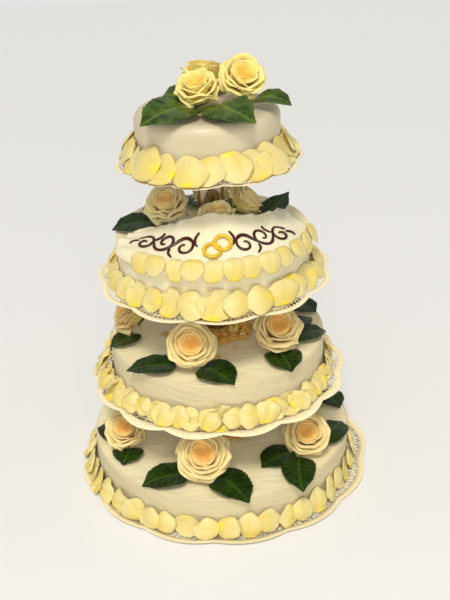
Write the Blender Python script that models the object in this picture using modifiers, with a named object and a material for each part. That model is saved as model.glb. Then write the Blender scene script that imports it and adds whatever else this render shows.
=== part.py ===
"""A wedding cake: four round tiers threaded on one centre column.

Metres, +Z up. The origin is the centre of the underside of the bottom paper
doily, and -Y is the front. Bearings are in degrees from the front towards +X.
"""
import math
from collections import namedtuple

import bmesh
import bpy
from mathutils import Matrix, Vector

# ---------------------------------------------------------------- dimensions
GAP = 0.0003                # clear space between neighbouring pieces
DOILY_THICKNESS = 0.0008
PLATE_THICKNESS = 0.004
LOBE_DEPTH = 0.0055         # how far a doily's scallops cut in
STEPS_PER_LOBE = 4
CAKE_STEPS = 40

Tier = namedtuple("Tier", "name doily_z cake_radius cake_height edge_round edge_segments "
                          "doily_radius lobes notch lift_from lift plate_radius "
                          "petals petal_reach petal_height")
TIERS = (
    Tier(name="bottom", doily_z=0.0, cake_radius=0.1815, cake_height=0.0571,
         edge_round=0.002, edge_segments=1, doily_radius=0.2085, lobes=13, notch=22.2,
         lift_from=0.184, lift=0.005, plate_radius=0.0,
         petals=38, petal_reach=0.0165, petal_height=0.034),
    Tier(name="lower", doily_z=0.1503, cake_radius=0.1457, cake_height=0.0555,
         edge_round=0.002, edge_segments=1, doily_radius=0.1765, lobes=14, notch=26.1,
         lift_from=0.167, lift=-0.002, plate_radius=0.151,
         petals=40, petal_reach=0.0190, petal_height=0.025),
    Tier(name="upper", doily_z=0.2990, cake_radius=0.126, cake_height=0.0569,
         edge_round=0.002, edge_segments=1, doily_radius=0.155, lobes=11, notch=20.4,
         lift_from=0.131, lift=0.0, plate_radius=0.131,
         petals=26, petal_reach=0.0205, petal_height=0.030),
    Tier(name="top", doily_z=0.4535, cake_radius=0.090, cake_height=0.0619,
         edge_round=0.013, edge_segments=3, doily_radius=0.118, lobes=11, notch=8.0,
         lift_from=0.095, lift=0.0, plate_radius=0.095,
         petals=24, petal_reach=0.0240, petal_height=0.031),
)

COLUMN_RADIUS = 0.0175
FLANGE_RADIUS = 0.030
FLANGE_HEIGHT = 0.004
COLUMN_STEPS = 24

PETAL_DIP = 0.008           # how far a row of petals drops between two of them
PETAL_INSET = 0.006         # how far its foot steps back between two petals
PETAL_BELLY = 0.009         # height of the fullest part of a petal

# The marzipan sheet that leans on the upper tier's rim and its roses. Its
# heights are above the doily's underside.
SHEET_TIER = "upper"
SHEET_THICKNESS = 0.0025
SHEET_RIM_RADIUS = 0.1268
SHEET_RIM_HEIGHT = 0.0614
SHEET_EDGE_RADIUS = 0.1318
SHEET_EDGE_HEIGHT = 0.050
SHEET_CREST_RADIUS = 0.065
SHEET_CREST_HEIGHT = 0.1034
SHEET_INNER_BEARINGS = (-84.0, 99.0)
SHEET_OUTER_BEARINGS = (-68.0, 70.0)
SHEET_COLUMNS = 24
SHEET_ROWS = (0.0, 0.35, 0.7, 0.93, 1.0)
SHEET_RIM_ROW = 0.93
SHEET_RUFFLE = 0.0012

# The petals hung over the sheet's outer edge.
RIM_ROW_BEARINGS = (-48.0, 78.0)
RIM_ROW_PETALS = 13

RING_RADIUS = 0.0095        # two interlocked icing rings laid on the sheet
RING_STROKE = 0.002
RING_SEATS = ((-0.5, 0.1055), (6.5, 0.0995))
RING_LIFT = 0.0048

ALMOND_HEAPS = {"lower": (0.050, 0.006), "bottom": (0.058, 0.007)}
ALMOND_HEIGHT = 0.012
ALMOND_STEPS = 24

ROSE_SEGMENTS = 10
ROSE_PROFILE = ((0.0, -0.78), (0.34, -0.69), (0.78, -0.28), (1.0, 0.20), (0.82, 0.42),
                (0.48, 0.50), (0.20, 0.45), (0.0, 0.41))
ROSE_PETAL_WAVE = 0.05
ROSE_SEAT = 0.0042          # a rose's lowest point, above the cake's top

LEAF_THICKNESS = 0.0008
LEAF_SEAT = 0.0016          # a spray's hub, above the cake's top
LEAF_FOLD = 0.10            # rise of a blade's edges, as a part of its width
HUB_RADIUS = 0.006
STEM_WIDTH = 0.0026
LEAF_STATIONS = ((0.30, 0.10), (0.48, 0.90), (0.76, 0.92), (1.0, 0.08))

# A rose stands at x, y (millimetres) with its face along (bearing, elevation).
# A leaf leaves the rose's hub, bends at the first point and ends at the second.
Rose = namedtuple("Rose", "tag x y size bearing elevation tall leaves")
Leaf = namedtuple("Leaf", "bend tip width rise tip_rise")

ROSES = {
    "top": (
        Rose("a", x=-10.4, y=-15.4, size=51, bearing=-20, elevation=70, tall=1.15, leaves=(
            Leaf(bend=(-20, -40), tip=(-76, -89), width=42, rise=5, tip_rise=4),
            Leaf(bend=(12, -24), tip=(6, -80), width=28, rise=3, tip_rise=2),
            Leaf(bend=(-30, -6), tip=(-56, 14), width=26, rise=6, tip_rise=6))),
        Rose("b", x=47.4, y=5.3, size=56, bearing=20, elevation=42, tall=1.0, leaves=(
            Leaf(bend=(26, -16), tip=(50, -110), width=42, rise=4, tip_rise=4),
            Leaf(bend=(66, -22), tip=(100, -43), width=22, rise=8, tip_rise=7))),
        Rose("c", x=-1.4, y=43.3, size=49, bearing=170, elevation=65, tall=1.15, leaves=(
            Leaf(bend=(-14, 60), tip=(-36, 88), width=30, rise=4, tip_rise=3),
            Leaf(bend=(14, 60), tip=(34, 90), width=28, rise=4, tip_rise=3))),
    ),
    "upper": (
        Rose("a", x=-58.0, y=12.7, size=60, bearing=-15, elevation=62, tall=1.0, leaves=(
            Leaf(bend=(-84, 10), tip=(-126, 4), width=28, rise=4, tip_rise=3),
            Leaf(bend=(-66, 40), tip=(-84, 76), width=30, rise=4, tip_rise=3))),
        Rose("b", x=6.0, y=-40.5, size=42, bearing=0, elevation=80, tall=1.7, leaves=(
            Leaf(bend=(-12, -44), tip=(-36, -24), width=20, rise=6, tip_rise=10),)),
        Rose("c", x=45.7, y=13.1, size=50, bearing=105, elevation=45, tall=1.15, leaves=(
            Leaf(bend=(64, 2), tip=(101, 53), width=24, rise=2, tip_rise=22),)),
        Rose("d", x=0.0, y=48.0, size=52, bearing=180, elevation=60, tall=1.0, leaves=(
            Leaf(bend=(-14, 74), tip=(-30, 108), width=32, rise=4, tip_rise=3),
            Leaf(bend=(14, 74), tip=(36, 104), width=32, rise=4, tip_rise=3))),
    ),
    "lower": (
        Rose("a", x=-119.0, y=2.0, size=58, bearing=-80, elevation=38, tall=1.0, leaves=(
            Leaf(bend=(-106, -22), tip=(-144, -46), width=27, rise=3, tip_rise=3),)),
        Rose("b", x=-34.7, y=-103.0, size=66, bearing=4, elevation=38, tall=1.0, leaves=(
            Leaf(bend=(-64, -100), tip=(-118, -107), width=34, rise=5, tip_rise=3),
            Leaf(bend=(-16, -106), tip=(18, -150), width=38, rise=4, tip_rise=2))),
        Rose("c", x=78.8, y=-64.6, size=65, bearing=5, elevation=55, tall=1.0, leaves=(
            Leaf(bend=(78, -80), tip=(91, -127), width=36, rise=4, tip_rise=2),
            Leaf(bend=(112, -40), tip=(147, -30), width=30, rise=6, tip_rise=3),
            Leaf(bend=(96, -24), tip=(132, 6), width=24, rise=6, tip_rise=5))),
        Rose("d", x=92.0, y=60.0, size=62, bearing=123, elevation=50, tall=1.0, leaves=(
            Leaf(bend=(84, 90), tip=(70, 122), width=34, rise=4, tip_rise=2),
            Leaf(bend=(118, 46), tip=(140, 26), width=30, rise=4, tip_rise=2))),
        Rose("e", x=-28.0, y=106.0, size=62, bearing=195, elevation=45, tall=1.0, leaves=(
            Leaf(bend=(-60, 104), tip=(-98, 92), width=36, rise=4, tip_rise=2),
            Leaf(bend=(4, 116), tip=(34, 132), width=34, rise=4, tip_rise=2))),
    ),
    "bottom": (
        Rose("a", x=-132.4, y=-60.9, size=60, bearing=-20, elevation=58, tall=1.0, leaves=(
            Leaf(bend=(-154, -44), tip=(-170, -6), width=26, rise=4, tip_rise=2),
            Leaf(bend=(-124, -76), tip=(-136, -105), width=32, rise=4, tip_rise=2))),
        Rose("b", x=-25.9, y=-136.6, size=70, bearing=2, elevation=48, tall=1.0, leaves=(
            Leaf(bend=(-56, -130), tip=(-108, -152), width=38, rise=6, tip_rise=2),
            Leaf(bend=(-4, -136), tip=(30, -195), width=40, rise=5, tip_rise=2))),
        Rose("c", x=113.4, y=-91.5, size=63, bearing=5, elevation=55, tall=1.0, leaves=(
            Leaf(bend=(84, -96), tip=(50, -125), width=34, rise=4, tip_rise=2),
            Leaf(bend=(92, -118), tip=(100, -179), width=34, rise=5, tip_rise=2),
            Leaf(bend=(146, -76), tip=(171, -30), width=34, rise=6, tip_rise=3))),
        Rose("d", x=133.5, y=51.2, size=64, bearing=111, elevation=50, tall=1.0, leaves=(
            Leaf(bend=(160, 40), tip=(172, 2), width=30, rise=4, tip_rise=3),
            Leaf(bend=(120, 84), tip=(106, 122), width=34, rise=4, tip_rise=2))),
        Rose("e", x=25.0, y=140.8, size=66, bearing=170, elevation=48, tall=1.0, leaves=(
            Leaf(bend=(58, 140), tip=(90, 150), width=36, rise=4, tip_rise=2),
            Leaf(bend=(-4, 154), tip=(-40, 168), width=36, rise=4, tip_rise=2))),
        Rose("f", x=-112.7, y=88.0, size=62, bearing=-128, elevation=50, tall=1.0, leaves=(
            Leaf(bend=(-142, 78), tip=(-164, 56), width=32, rise=4, tip_rise=2),
            Leaf(bend=(-96, 114), tip=(-88, 146), width=34, rise=4, tip_rise=2))),
    ),
}

# Colour, roughness and metal share for each kind of surface.
SURFACES = {
    "icing": ((0.80, 0.70, 0.45), 0.5, 0.0),
    "marzipan": ((0.86, 0.80, 0.55), 0.4, 0.0),
    "paper": ((0.90, 0.80, 0.52), 0.8, 0.0),
    "metal": ((0.75, 0.73, 0.70), 0.15, 1.0),
    "petal": ((0.95, 0.80, 0.25), 0.5, 0.0),
    "rose": ((0.85, 0.62, 0.32), 0.5, 0.0),
    "leaf": ((0.03, 0.09, 0.015), 0.3, 0.0),
    "almond": ((0.50, 0.25, 0.06), 0.5, 0.0),
    "ring": ((0.75, 0.45, 0.02), 0.4, 0.0),
}


# ------------------------------------------------------------------- helpers
def polar(radius, bearing, height):
    """Point at a radius and a bearing in degrees, at a height."""
    angle = math.radians(bearing)
    return Vector((radius * math.sin(angle), -radius * math.cos(angle), height))


def mix(first, second, share):
    """The value a given share of the way from first to second."""
    return first + (second - first) * share


def clear_scene():
    """Remove every object of the start-up scene."""
    for item in list(bpy.data.objects):
        bpy.data.objects.remove(item, do_unlink=True)


def new_collection(name):
    """Make a collection under the scene's own."""
    group = bpy.data.collections.new(name)
    bpy.context.scene.collection.children.link(group)
    return group


def material_for(name, surface):
    """A Principled BSDF material of the named surface."""
    color, roughness, metallic = SURFACES[surface]
    material = bpy.data.materials.new(name)
    material.use_nodes = True
    shader = material.node_tree.nodes["Principled BSDF"]
    shader.inputs["Base Color"].default_value = (*color, 1.0)
    shader.inputs["Roughness"].default_value = roughness
    shader.inputs["Metallic"].default_value = metallic
    material.diffuse_color = (*color, 1.0)
    return material


def finish(item, name, surface, group):
    """Name an object, give it its material and put it in its collection."""
    item.name = name
    item.data.name = name
    item.data.materials.clear()
    item.data.materials.append(material_for(name, surface))
    for owner in list(item.users_collection):
        owner.objects.unlink(item)
    group.objects.link(item)
    return item


def object_from(mesh_builder, name, surface, group):
    """Turn a bmesh into a named object with outward faces."""
    bmesh.ops.recalc_face_normals(mesh_builder, faces=mesh_builder.faces[:])
    mesh = bpy.data.meshes.new(name)
    mesh_builder.to_mesh(mesh)
    mesh_builder.free()
    return finish(bpy.data.objects.new(name, mesh), name, surface, group)


def thicken(item, thickness):
    """Give an open surface a thickness, half to each side."""
    solid = item.modifiers.new("thickness", "SOLIDIFY")
    solid.thickness = thickness
    solid.offset = 0.0
    solid.use_even_offset = True
    return item


def round_edges(item, width, segments):
    """Round the edges that carry a bevel weight."""
    bevel = item.modifiers.new("rounded_edge", "BEVEL")
    bevel.width = width
    bevel.segments = segments
    bevel.limit_method = "WEIGHT"
    return item


def cylinder(name, surface, group, radius, low, high, steps):
    """An upright cylinder on the axis between two heights."""
    bpy.ops.mesh.primitive_cylinder_add(vertices=steps, radius=radius, depth=high - low,
                                        location=(0.0, 0.0, (low + high) / 2.0))
    return finish(bpy.context.object, name, surface, group)


def swept_ring(name, surface, group, bearings, section_at, closed):
    """Sweep a section, a list of (radius, height), along the given bearings."""
    builder = bmesh.new()
    loops = [[builder.verts.new(polar(radius, bearing, height))
              for radius, height in section_at(index, bearing)]
             for index, bearing in enumerate(bearings)]
    count = len(loops[0])
    pairs = list(zip(loops, loops[1:]))
    if closed:
        pairs.append((loops[-1], loops[0]))
    else:
        builder.faces.new(loops[0])
        builder.faces.new(loops[-1])
    for near, far in pairs:
        for side in range(count):
            step = (side + 1) % count
            builder.faces.new((near[side], near[step], far[step], far[side]))
    return object_from(builder, name, surface, group)


# --------------------------------------------------------------------- tiers
def cake_floor(tier):
    """Height of a cake's underside."""
    return tier.doily_z + DOILY_THICKNESS + GAP


def cake_top(tier):
    """Height of a cake's flat top."""
    return cake_floor(tier) + tier.cake_height


def plate_floor(tier):
    """Height of the underside of the plate that carries a tier."""
    return tier.doily_z - GAP - PLATE_THICKNESS


def doily_rise(tier, radius):
    """How far the doily's outer band climbs above its flat middle."""
    span = tier.doily_radius - tier.lift_from
    return tier.lift * max(0.0, radius - tier.lift_from) / span


def scallop_radius(tier, bearing):
    """Outer radius of a doily: rounded lobes that meet in notches."""
    turn = math.radians(bearing - tier.notch) * tier.lobes / 2.0
    return tier.doily_radius - LOBE_DEPTH * (1.0 - abs(math.sin(turn)))


def build_cake(tier, group):
    """One tier's cake, a plain disc whose upper rim alone is rounded."""
    item = cylinder("cake_" + tier.name, "icing", group, tier.cake_radius,
                    cake_floor(tier), cake_top(tier), CAKE_STEPS)
    weights = item.data.attributes.new("bevel_weight_edge", "FLOAT", "EDGE")
    for edge in item.data.edges:
        on_top = all(item.data.vertices[end].co.z > 0.0 for end in edge.vertices)
        weights.data[edge.index].value = 1.0 if on_top else 0.0
    return round_edges(item, tier.edge_round, tier.edge_segments)


def build_doily(tier, group):
    """One tier's scalloped paper doily."""
    steps = tier.lobes * STEPS_PER_LOBE
    middle = tier.doily_z + DOILY_THICKNESS / 2.0
    builder = bmesh.new()
    centre = builder.verts.new((0.0, 0.0, middle))
    bearings = [tier.notch + 360.0 * step / steps for step in range(steps)]
    inner = [builder.verts.new(polar(tier.lift_from, bearing, middle)) for bearing in bearings]
    outer = []
    for bearing in bearings:
        radius = scallop_radius(tier, bearing)
        outer.append(builder.verts.new(polar(radius, bearing, middle + doily_rise(tier, radius))))
    for step in range(steps):
        following = (step + 1) % steps
        builder.faces.new((centre, inner[step], inner[following]))
        builder.faces.new((inner[step], outer[step], outer[following], inner[following]))
    return thicken(object_from(builder, "doily_" + tier.name, "paper", group), DOILY_THICKNESS)


def build_plate(tier, group):
    """The thin plate on the column that carries one tier."""
    low = plate_floor(tier)
    return cylinder("plate_" + tier.name, "metal", group, tier.plate_radius,
                    low, low + PLATE_THICKNESS, CAKE_STEPS)


def build_column(below, above, flanged, group):
    """The length of column between a cake's top and the next plate."""
    low = cake_top(below) + GAP
    high = plate_floor(above) - GAP
    profile = [(0.0, high)]
    if flanged:
        profile += [(FLANGE_RADIUS, high), (FLANGE_RADIUS, high - FLANGE_HEIGHT)]
        profile += [(COLUMN_RADIUS, high - FLANGE_HEIGHT)]
    else:
        profile += [(COLUMN_RADIUS, high)]
    profile += [(COLUMN_RADIUS, low), (0.0, low)]
    builder = bmesh.new()
    points = [builder.verts.new((radius, 0.0, height)) for radius, height in profile]
    for start, end in zip(points, points[1:]):
        builder.edges.new((start, end))
    mesh = bpy.data.meshes.new("column")
    builder.to_mesh(mesh)
    builder.free()
    item = bpy.data.objects.new("column", mesh)
    turned = item.modifiers.new("turned", "SCREW")
    turned.steps = COLUMN_STEPS
    turned.render_steps = COLUMN_STEPS
    turned.use_merge_vertices = True
    turned.merge_threshold = 0.0001
    return finish(item, "column_" + below.name, "metal", group)


def build_garland(tier, group):
    """The row of petals leaning against a cake's foot, as one uneven ring."""
    stations = tier.petals * 2
    foot = tier.doily_z + DOILY_THICKNESS + GAP
    wall = tier.cake_radius + 0.0004

    def section(index, bearing):
        """Section of the row, drawn in between two petals."""
        between = index % 2
        sway = math.sin(math.radians(bearing) * 5.0)
        reach = wall + tier.petal_reach - PETAL_INSET * between + 0.0008 * sway
        crest = foot + tier.petal_height - PETAL_DIP * between + 0.0015 * sway
        foot_out = foot + doily_rise(tier, reach)
        return [(wall, foot), (reach, foot_out), (reach - 0.003, foot_out + PETAL_BELLY),
                (wall + 0.0015, crest)]

    bearings = [360.0 * station / stations for station in range(stations)]
    return swept_ring("petals_" + tier.name, "petal", group, bearings, section, True)


# --------------------------------------------------------- sheet on one tier
def sheet_inner(bearing):
    """Radius and height of the sheet's inner edge at a bearing."""
    if bearing > 0.0:
        share = bearing / SHEET_INNER_BEARINGS[1]
        return (SHEET_CREST_RADIUS + 0.021 * share ** 1.6,
                SHEET_CREST_HEIGHT - 0.0284 * share ** 1.2)
    share = bearing / SHEET_INNER_BEARINGS[0]
    return (SHEET_CREST_RADIUS + 0.036 * share ** 4.0,
            SHEET_CREST_HEIGHT - 0.0415 * share ** 1.3)


def sheet_section(bearing, share):
    """Radius and height of the sheet, from its inner edge (0) to its outer (1)."""
    radius, height = sheet_inner(bearing)
    if share <= SHEET_RIM_ROW:
        along = share / SHEET_RIM_ROW
        return mix(radius, SHEET_RIM_RADIUS, along), mix(height, SHEET_RIM_HEIGHT, along)
    along = (share - SHEET_RIM_ROW) / (1.0 - SHEET_RIM_ROW)
    return (mix(SHEET_RIM_RADIUS, SHEET_EDGE_RADIUS, along),
            mix(SHEET_RIM_HEIGHT, SHEET_EDGE_HEIGHT, along))


def sheet_height(bearing, at_radius):
    """Height of the leaning part of the sheet at a radius."""
    radius, height = sheet_inner(bearing)
    return mix(height, SHEET_RIM_HEIGHT, (at_radius - radius) / (SHEET_RIM_RADIUS - radius))


def build_sheet(tier, group):
    """The rolled marzipan sheet, a leaning skirt open at the back."""
    builder = bmesh.new()
    rows = []
    for share in SHEET_ROWS:
        left = mix(SHEET_INNER_BEARINGS[0], SHEET_OUTER_BEARINGS[0], share)
        right = mix(SHEET_INNER_BEARINGS[1], SHEET_OUTER_BEARINGS[1], share)
        row = []
        for column in range(SHEET_COLUMNS + 1):
            bearing = mix(left, right, column / SHEET_COLUMNS)
            radius, height = sheet_section(bearing, share)
            ruffle = SHEET_RUFFLE * (1.0 - share) ** 2 * (1.0 if column % 2 else -1.0)
            row.append(builder.verts.new(polar(radius, bearing, tier.doily_z + height + ruffle)))
        rows.append(row)
    for near, far in zip(rows, rows[1:]):
        for column in range(SHEET_COLUMNS):
            builder.faces.new((near[column], near[column + 1], far[column + 1], far[column]))
    return thicken(object_from(builder, "marzipan_sheet", "marzipan", group), SHEET_THICKNESS)


def build_rim_row(tier, group):
    """The petals that hang over the sheet's outer edge, as one uneven band."""
    base = tier.doily_z
    stations = RIM_ROW_PETALS * 2

    def section(index, bearing):
        """Section that rests on the sheet and hangs down outside it."""
        between = 1 - index % 2
        crest_radius = 0.117 + 0.003 * between
        crest = base + sheet_height(bearing, crest_radius) + 0.0024
        tip = base + 0.0425 + 0.005 * between
        return [(crest_radius, crest), (0.1300, base + 0.0628),
                (0.1372 - 0.0014 * between, tip), (0.1395 - 0.0014 * between, tip),
                (0.1352, base + 0.0612), (0.1200 + 0.003 * between, crest + 0.0020)]

    first, last = RIM_ROW_BEARINGS
    bearings = [mix(first, last, station / stations) for station in range(stations + 1)]
    return swept_ring("petals_sheet", "petal", group, bearings, section, False)


def torus(location, tilt):
    """One icing ring, tilted to lie on the sheet."""
    bpy.ops.mesh.primitive_torus_add(major_segments=18, minor_segments=4,
                                     major_radius=RING_RADIUS, minor_radius=RING_STROKE,
                                     location=location, rotation=tilt)
    return bpy.context.object


def build_rings(tier, group, guides):
    """Two interlocked wedding rings as one solid, lying on the sheet."""
    slope = math.atan2(SHEET_CREST_HEIGHT - SHEET_RIM_HEIGHT,
                       SHEET_RIM_RADIUS - SHEET_CREST_RADIUS)
    made = []
    for bearing, radius in RING_SEATS:
        height = tier.doily_z + sheet_height(bearing, radius) + RING_LIFT
        made.append(torus(polar(radius, bearing, height), (slope, 0.0, math.radians(bearing))))
    base, second = made
    finish(second, "second_ring_guide", "ring", guides)
    second.hide_render = True
    second.display_type = "WIRE"
    joined = base.modifiers.new("joined", "BOOLEAN")
    joined.operation = "UNION"
    joined.solver = "EXACT"
    joined.object = second
    return finish(base, "wedding_rings", "ring", group)


# ------------------------------------------------------------------ toppings
def build_almonds(tier, group):
    """The low heap of flaked almonds round the column, uneven at its edge."""
    reach, sway = ALMOND_HEAPS[tier.name]
    foot = cake_top(tier) + GAP

    def section(index, bearing):
        """Domed section with an outline that wanders in and out."""
        angle = math.radians(bearing)
        edge = reach + sway * math.sin(3.0 * angle + 1.0) * math.cos(5.0 * angle)
        peak = ALMOND_HEIGHT * (0.85 + 0.15 * math.sin(7.0 * angle))
        inner = COLUMN_RADIUS + 0.0004
        return [(inner, foot), (edge, foot), (edge - 0.004, foot + 0.0035), (inner, foot + peak)]

    bearings = [360.0 * step / ALMOND_STEPS for step in range(ALMOND_STEPS)]
    return swept_ring("almonds_" + tier.name, "almond", group, bearings, section, True)


def rose_turn(rose):
    """Rotation that points a rose's face along its bearing and elevation."""
    tilt = Matrix.Rotation(math.radians(90.0 - rose.elevation), 4, "X")
    return Matrix.Rotation(math.radians(rose.bearing), 4, "Z") @ tilt


def build_rose(rose, tier, group):
    """A rose head: a cup of petals that narrows to the stem, open at its heart."""
    bpy.ops.mesh.primitive_uv_sphere_add(segments=ROSE_SEGMENTS,
                                         ring_count=len(ROSE_PROFILE) - 1, radius=1.0)
    item = bpy.context.object
    half = rose.size / 2000.0
    turn = rose_turn(rose)
    last = len(ROSE_PROFILE) - 1
    for vertex in item.data.vertices:
        row = round((1.0 - math.acos(max(-1.0, min(1.0, vertex.co.z))) / math.pi) * last)
        out, up = ROSE_PROFILE[row]
        angle = math.atan2(vertex.co.y, vertex.co.x)
        out *= 1.0 + ROSE_PETAL_WAVE * math.cos(5.0 * angle) * min(1.0, out * 2.0)
        vertex.co = turn @ Vector((out * half * math.cos(angle), out * half * math.sin(angle),
                                   up * half * rose.tall))
    lowest = min(vertex.co.z for vertex in item.data.vertices)
    middle = Vector((rose.x / 1000.0, rose.y / 1000.0, cake_top(tier) + ROSE_SEAT - lowest))
    for vertex in item.data.vertices:
        vertex.co += middle
    return finish(item, "rose_" + tier.name + "_" + rose.tag, "rose", group)


def bezier(start, bend, end, share):
    """Point on a quadratic Bezier curve."""
    return mix(mix(start, bend, share), mix(bend, end, share), share)


def leaf_points(leaf, hub, share, blade):
    """Left, middle and right points of a leaf at a share of its length."""
    bend = Vector((leaf.bend[0] / 1000.0, leaf.bend[1] / 1000.0, hub.z))
    end = Vector((leaf.tip[0] / 1000.0, leaf.tip[1] / 1000.0, hub.z))
    middle = bezier(hub, bend, end, share)
    ahead = bezier(hub, bend, end, min(1.0, share + 0.02))
    behind = bezier(hub, bend, end, share - 0.02)
    along = (ahead - behind).normalized()
    side = Vector((along.y, -along.x, 0.0))
    climb = math.sin(math.pi * min(1.0, share) ** 1.3) * leaf.rise / 1000.0
    middle.z += climb + leaf.tip_rise / 1000.0 * share ** 3
    half = max(STEM_WIDTH, leaf.width / 1000.0 * blade) / 2.0
    fold = Vector((0.0, 0.0, 2.0 * half * LEAF_FOLD))
    return [middle - side * half + fold, middle, middle + side * half + fold]


def build_spray(rose, tier, group):
    """The leaflets under one rose, joined at a hub that lies on the icing."""
    hub = Vector((rose.x / 1000.0, rose.y / 1000.0, cake_top(tier) + LEAF_SEAT))
    builder = bmesh.new()
    rim = []
    strips = []
    for leaf in rose.leaves:
        toward = Vector((leaf.bend[0] / 1000.0 - hub.x, leaf.bend[1] / 1000.0 - hub.y, 0.0))
        toward.normalize()
        side = Vector((toward.y, -toward.x, 0.0)) * (STEM_WIDTH / 2.0)
        root = [builder.verts.new(hub + toward * HUB_RADIUS + shift)
                for shift in (-side, Vector(), side)]
        rim += root
        strip = [root]
        for share, blade in LEAF_STATIONS:
            strip.append([builder.verts.new(point)
                          for point in leaf_points(leaf, hub, share, blade)])
        strips.append(strip)
    if len(rose.leaves) == 1:
        rim.append(builder.verts.new(hub - toward * HUB_RADIUS))
    rim.sort(key=lambda vertex: math.atan2(vertex.co.y - hub.y, vertex.co.x - hub.x))
    builder.faces.new(rim)
    for strip in strips:
        for near, far in zip(strip, strip[1:]):
            for step in (0, 1):
                builder.faces.new((near[step], near[step + 1], far[step + 1], far[step]))
    item = object_from(builder, "leaves_" + tier.name + "_" + rose.tag, "leaf", group)
    return thicken(item, LEAF_THICKNESS)


def build_tier(tier, group):
    """Everything of one tier that is on it or leans against it."""
    build_cake(tier, group)
    build_doily(tier, group)
    build_garland(tier, group)
    if tier.plate_radius:
        build_plate(tier, group)
    if tier.name in ALMOND_HEAPS:
        build_almonds(tier, group)
    for rose in ROSES[tier.name]:
        build_rose(rose, tier, group)
        build_spray(rose, tier, group)


def main():
    """Build the whole cake."""
    clear_scene()
    group = new_collection("wedding_cake")
    guides = new_collection("guides")
    for tier in TIERS:
        build_tier(tier, group)
    for below, above in zip(TIERS, TIERS[1:]):
        build_column(below, above, above.name == "top", group)
    sheet_tier = next(tier for tier in TIERS if tier.name == SHEET_TIER)
    build_sheet(sheet_tier, group)
    build_rim_row(sheet_tier, group)
    build_rings(sheet_tier, group, guides)


main()
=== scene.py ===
"""Looks of a wedding cake: four iced tiers on a centre column, dressed with fresh roses.

Metres, +Z up, the origin under the middle of the bottom doily, the front towards -Y.
A bearing is in degrees from the front towards +X. Every piece is worked out as arrays
on grids and put into its mesh in one go.
"""

import logging
import math
from dataclasses import dataclass, field
from enum import Enum
from typing import Optional, Sequence

import bpy
import numpy as np
from mathutils import Matrix, Vector


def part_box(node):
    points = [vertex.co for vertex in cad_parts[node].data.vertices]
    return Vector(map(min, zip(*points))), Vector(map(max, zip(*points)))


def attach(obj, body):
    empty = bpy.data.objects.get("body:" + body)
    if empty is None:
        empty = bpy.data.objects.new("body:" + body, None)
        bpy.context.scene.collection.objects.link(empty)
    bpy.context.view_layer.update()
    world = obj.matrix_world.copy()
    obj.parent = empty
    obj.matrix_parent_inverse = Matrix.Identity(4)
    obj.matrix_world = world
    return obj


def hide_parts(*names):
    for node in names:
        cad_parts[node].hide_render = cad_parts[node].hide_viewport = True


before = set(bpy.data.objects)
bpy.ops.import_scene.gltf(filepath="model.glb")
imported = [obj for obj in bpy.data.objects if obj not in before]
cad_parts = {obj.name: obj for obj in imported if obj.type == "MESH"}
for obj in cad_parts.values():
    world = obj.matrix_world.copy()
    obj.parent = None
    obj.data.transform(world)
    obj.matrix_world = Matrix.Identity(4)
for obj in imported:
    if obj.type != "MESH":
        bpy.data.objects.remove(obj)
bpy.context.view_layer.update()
LOG = logging.getLogger("wedding_cake")
Array = np.ndarray
Number = float | Array
Colour = tuple[float, float, float]
Material = bpy.types.Material
Socket = bpy.types.NodeSocket | float


# ------------------------------------------------------------------ small sums
def srgb(red: int, green: int, blue: int) -> Colour:
    """A linear colour from display values.

    Args:
        red: from 0 to 255.
        green: from 0 to 255.
        blue: from 0 to 255.
    Returns:
        The three linear channels.
    """
    def linear(value: float) -> float:
        """One channel: v / 12.92 below 0.04045, ((v + 0.055) / 1.055) ^ 2.4 above."""
        share = value / 255.0
        return share / 12.92 if share <= 0.04045 else ((share + 0.055) / 1.055) ** 2.4
    return linear(red), linear(green), linear(blue)


def mix(first: Number, second: Number, share: Number) -> Number:
    """The value a given share of the way from first to second."""
    return first + (second - first) * share


def smooth(values: Array, low: float, high: float) -> Array:
    """Eased step: 0 below low, 1 above high, 3 t^2 - 2 t^3 between."""
    share = np.clip((values - low) / (high - low), 0.0, 1.0)
    return share * share * (3.0 - 2.0 * share)


def polar(radius: Number, bearing: Number, height: Number) -> Array:
    """Points from radius, bearing in degrees and height: (r sin b, -r cos b, h)."""
    radius, angle, height = np.broadcast_arrays(radius, np.radians(bearing), height)
    return np.stack([radius * np.sin(angle), -radius * np.cos(angle), height], -1)


def ring(count: int) -> Array:
    """Bearings evenly spread all round, as one row."""
    return np.linspace(0.0, 360.0, count, endpoint=False)[None, :]


def parameters(rows: int, columns: int) -> tuple[Array, Array]:
    """The two parameters of a grid: one from 0 to 1 as a column, one from -1 to 1 as a row."""
    return np.linspace(0.0, 1.0, rows)[:, None], np.linspace(-1.0, 1.0, columns)[None, :]


def stacked(*parts: Number) -> Array:
    """Values spread to one shape and put side by side along a new last axis."""
    return np.stack(np.broadcast_arrays(*parts), -1)


def waves(values: Array, rng: np.random.Generator, low: int = 1, high: int = 6) -> Array:
    """Smooth wander of about +-1: the sum of sin(2 pi k x + phase) / k^0.7 for whole k.

    Args:
        values: places along the curve, where 1 is one full turn.
        rng: source of the phases.
        low: smallest whole number of waves in a turn.
        high: largest whole number of waves in a turn.
    Returns:
        The wander at each place.
    """
    total = np.zeros(np.shape(values))
    weight = 0.0
    for count in range(low, high + 1):
        size = count ** -0.7
        total = total + size * np.sin(2.0 * math.pi * (count * values + rng.random()))
        weight += size * size
    return total / math.sqrt(weight) * 0.8


def unit(vectors: Array) -> Array:
    """Vectors of length one, with empty ones left empty."""
    length = np.linalg.norm(vectors, axis=-1, keepdims=True)
    return vectors / np.where(length < 1e-12, 1.0, length)


def upward(vectors: Array) -> Array:
    """Vectors, turned round where they point down."""
    return np.where(vectors[..., 2:] < 0.0, -vectors, vectors)


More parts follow.
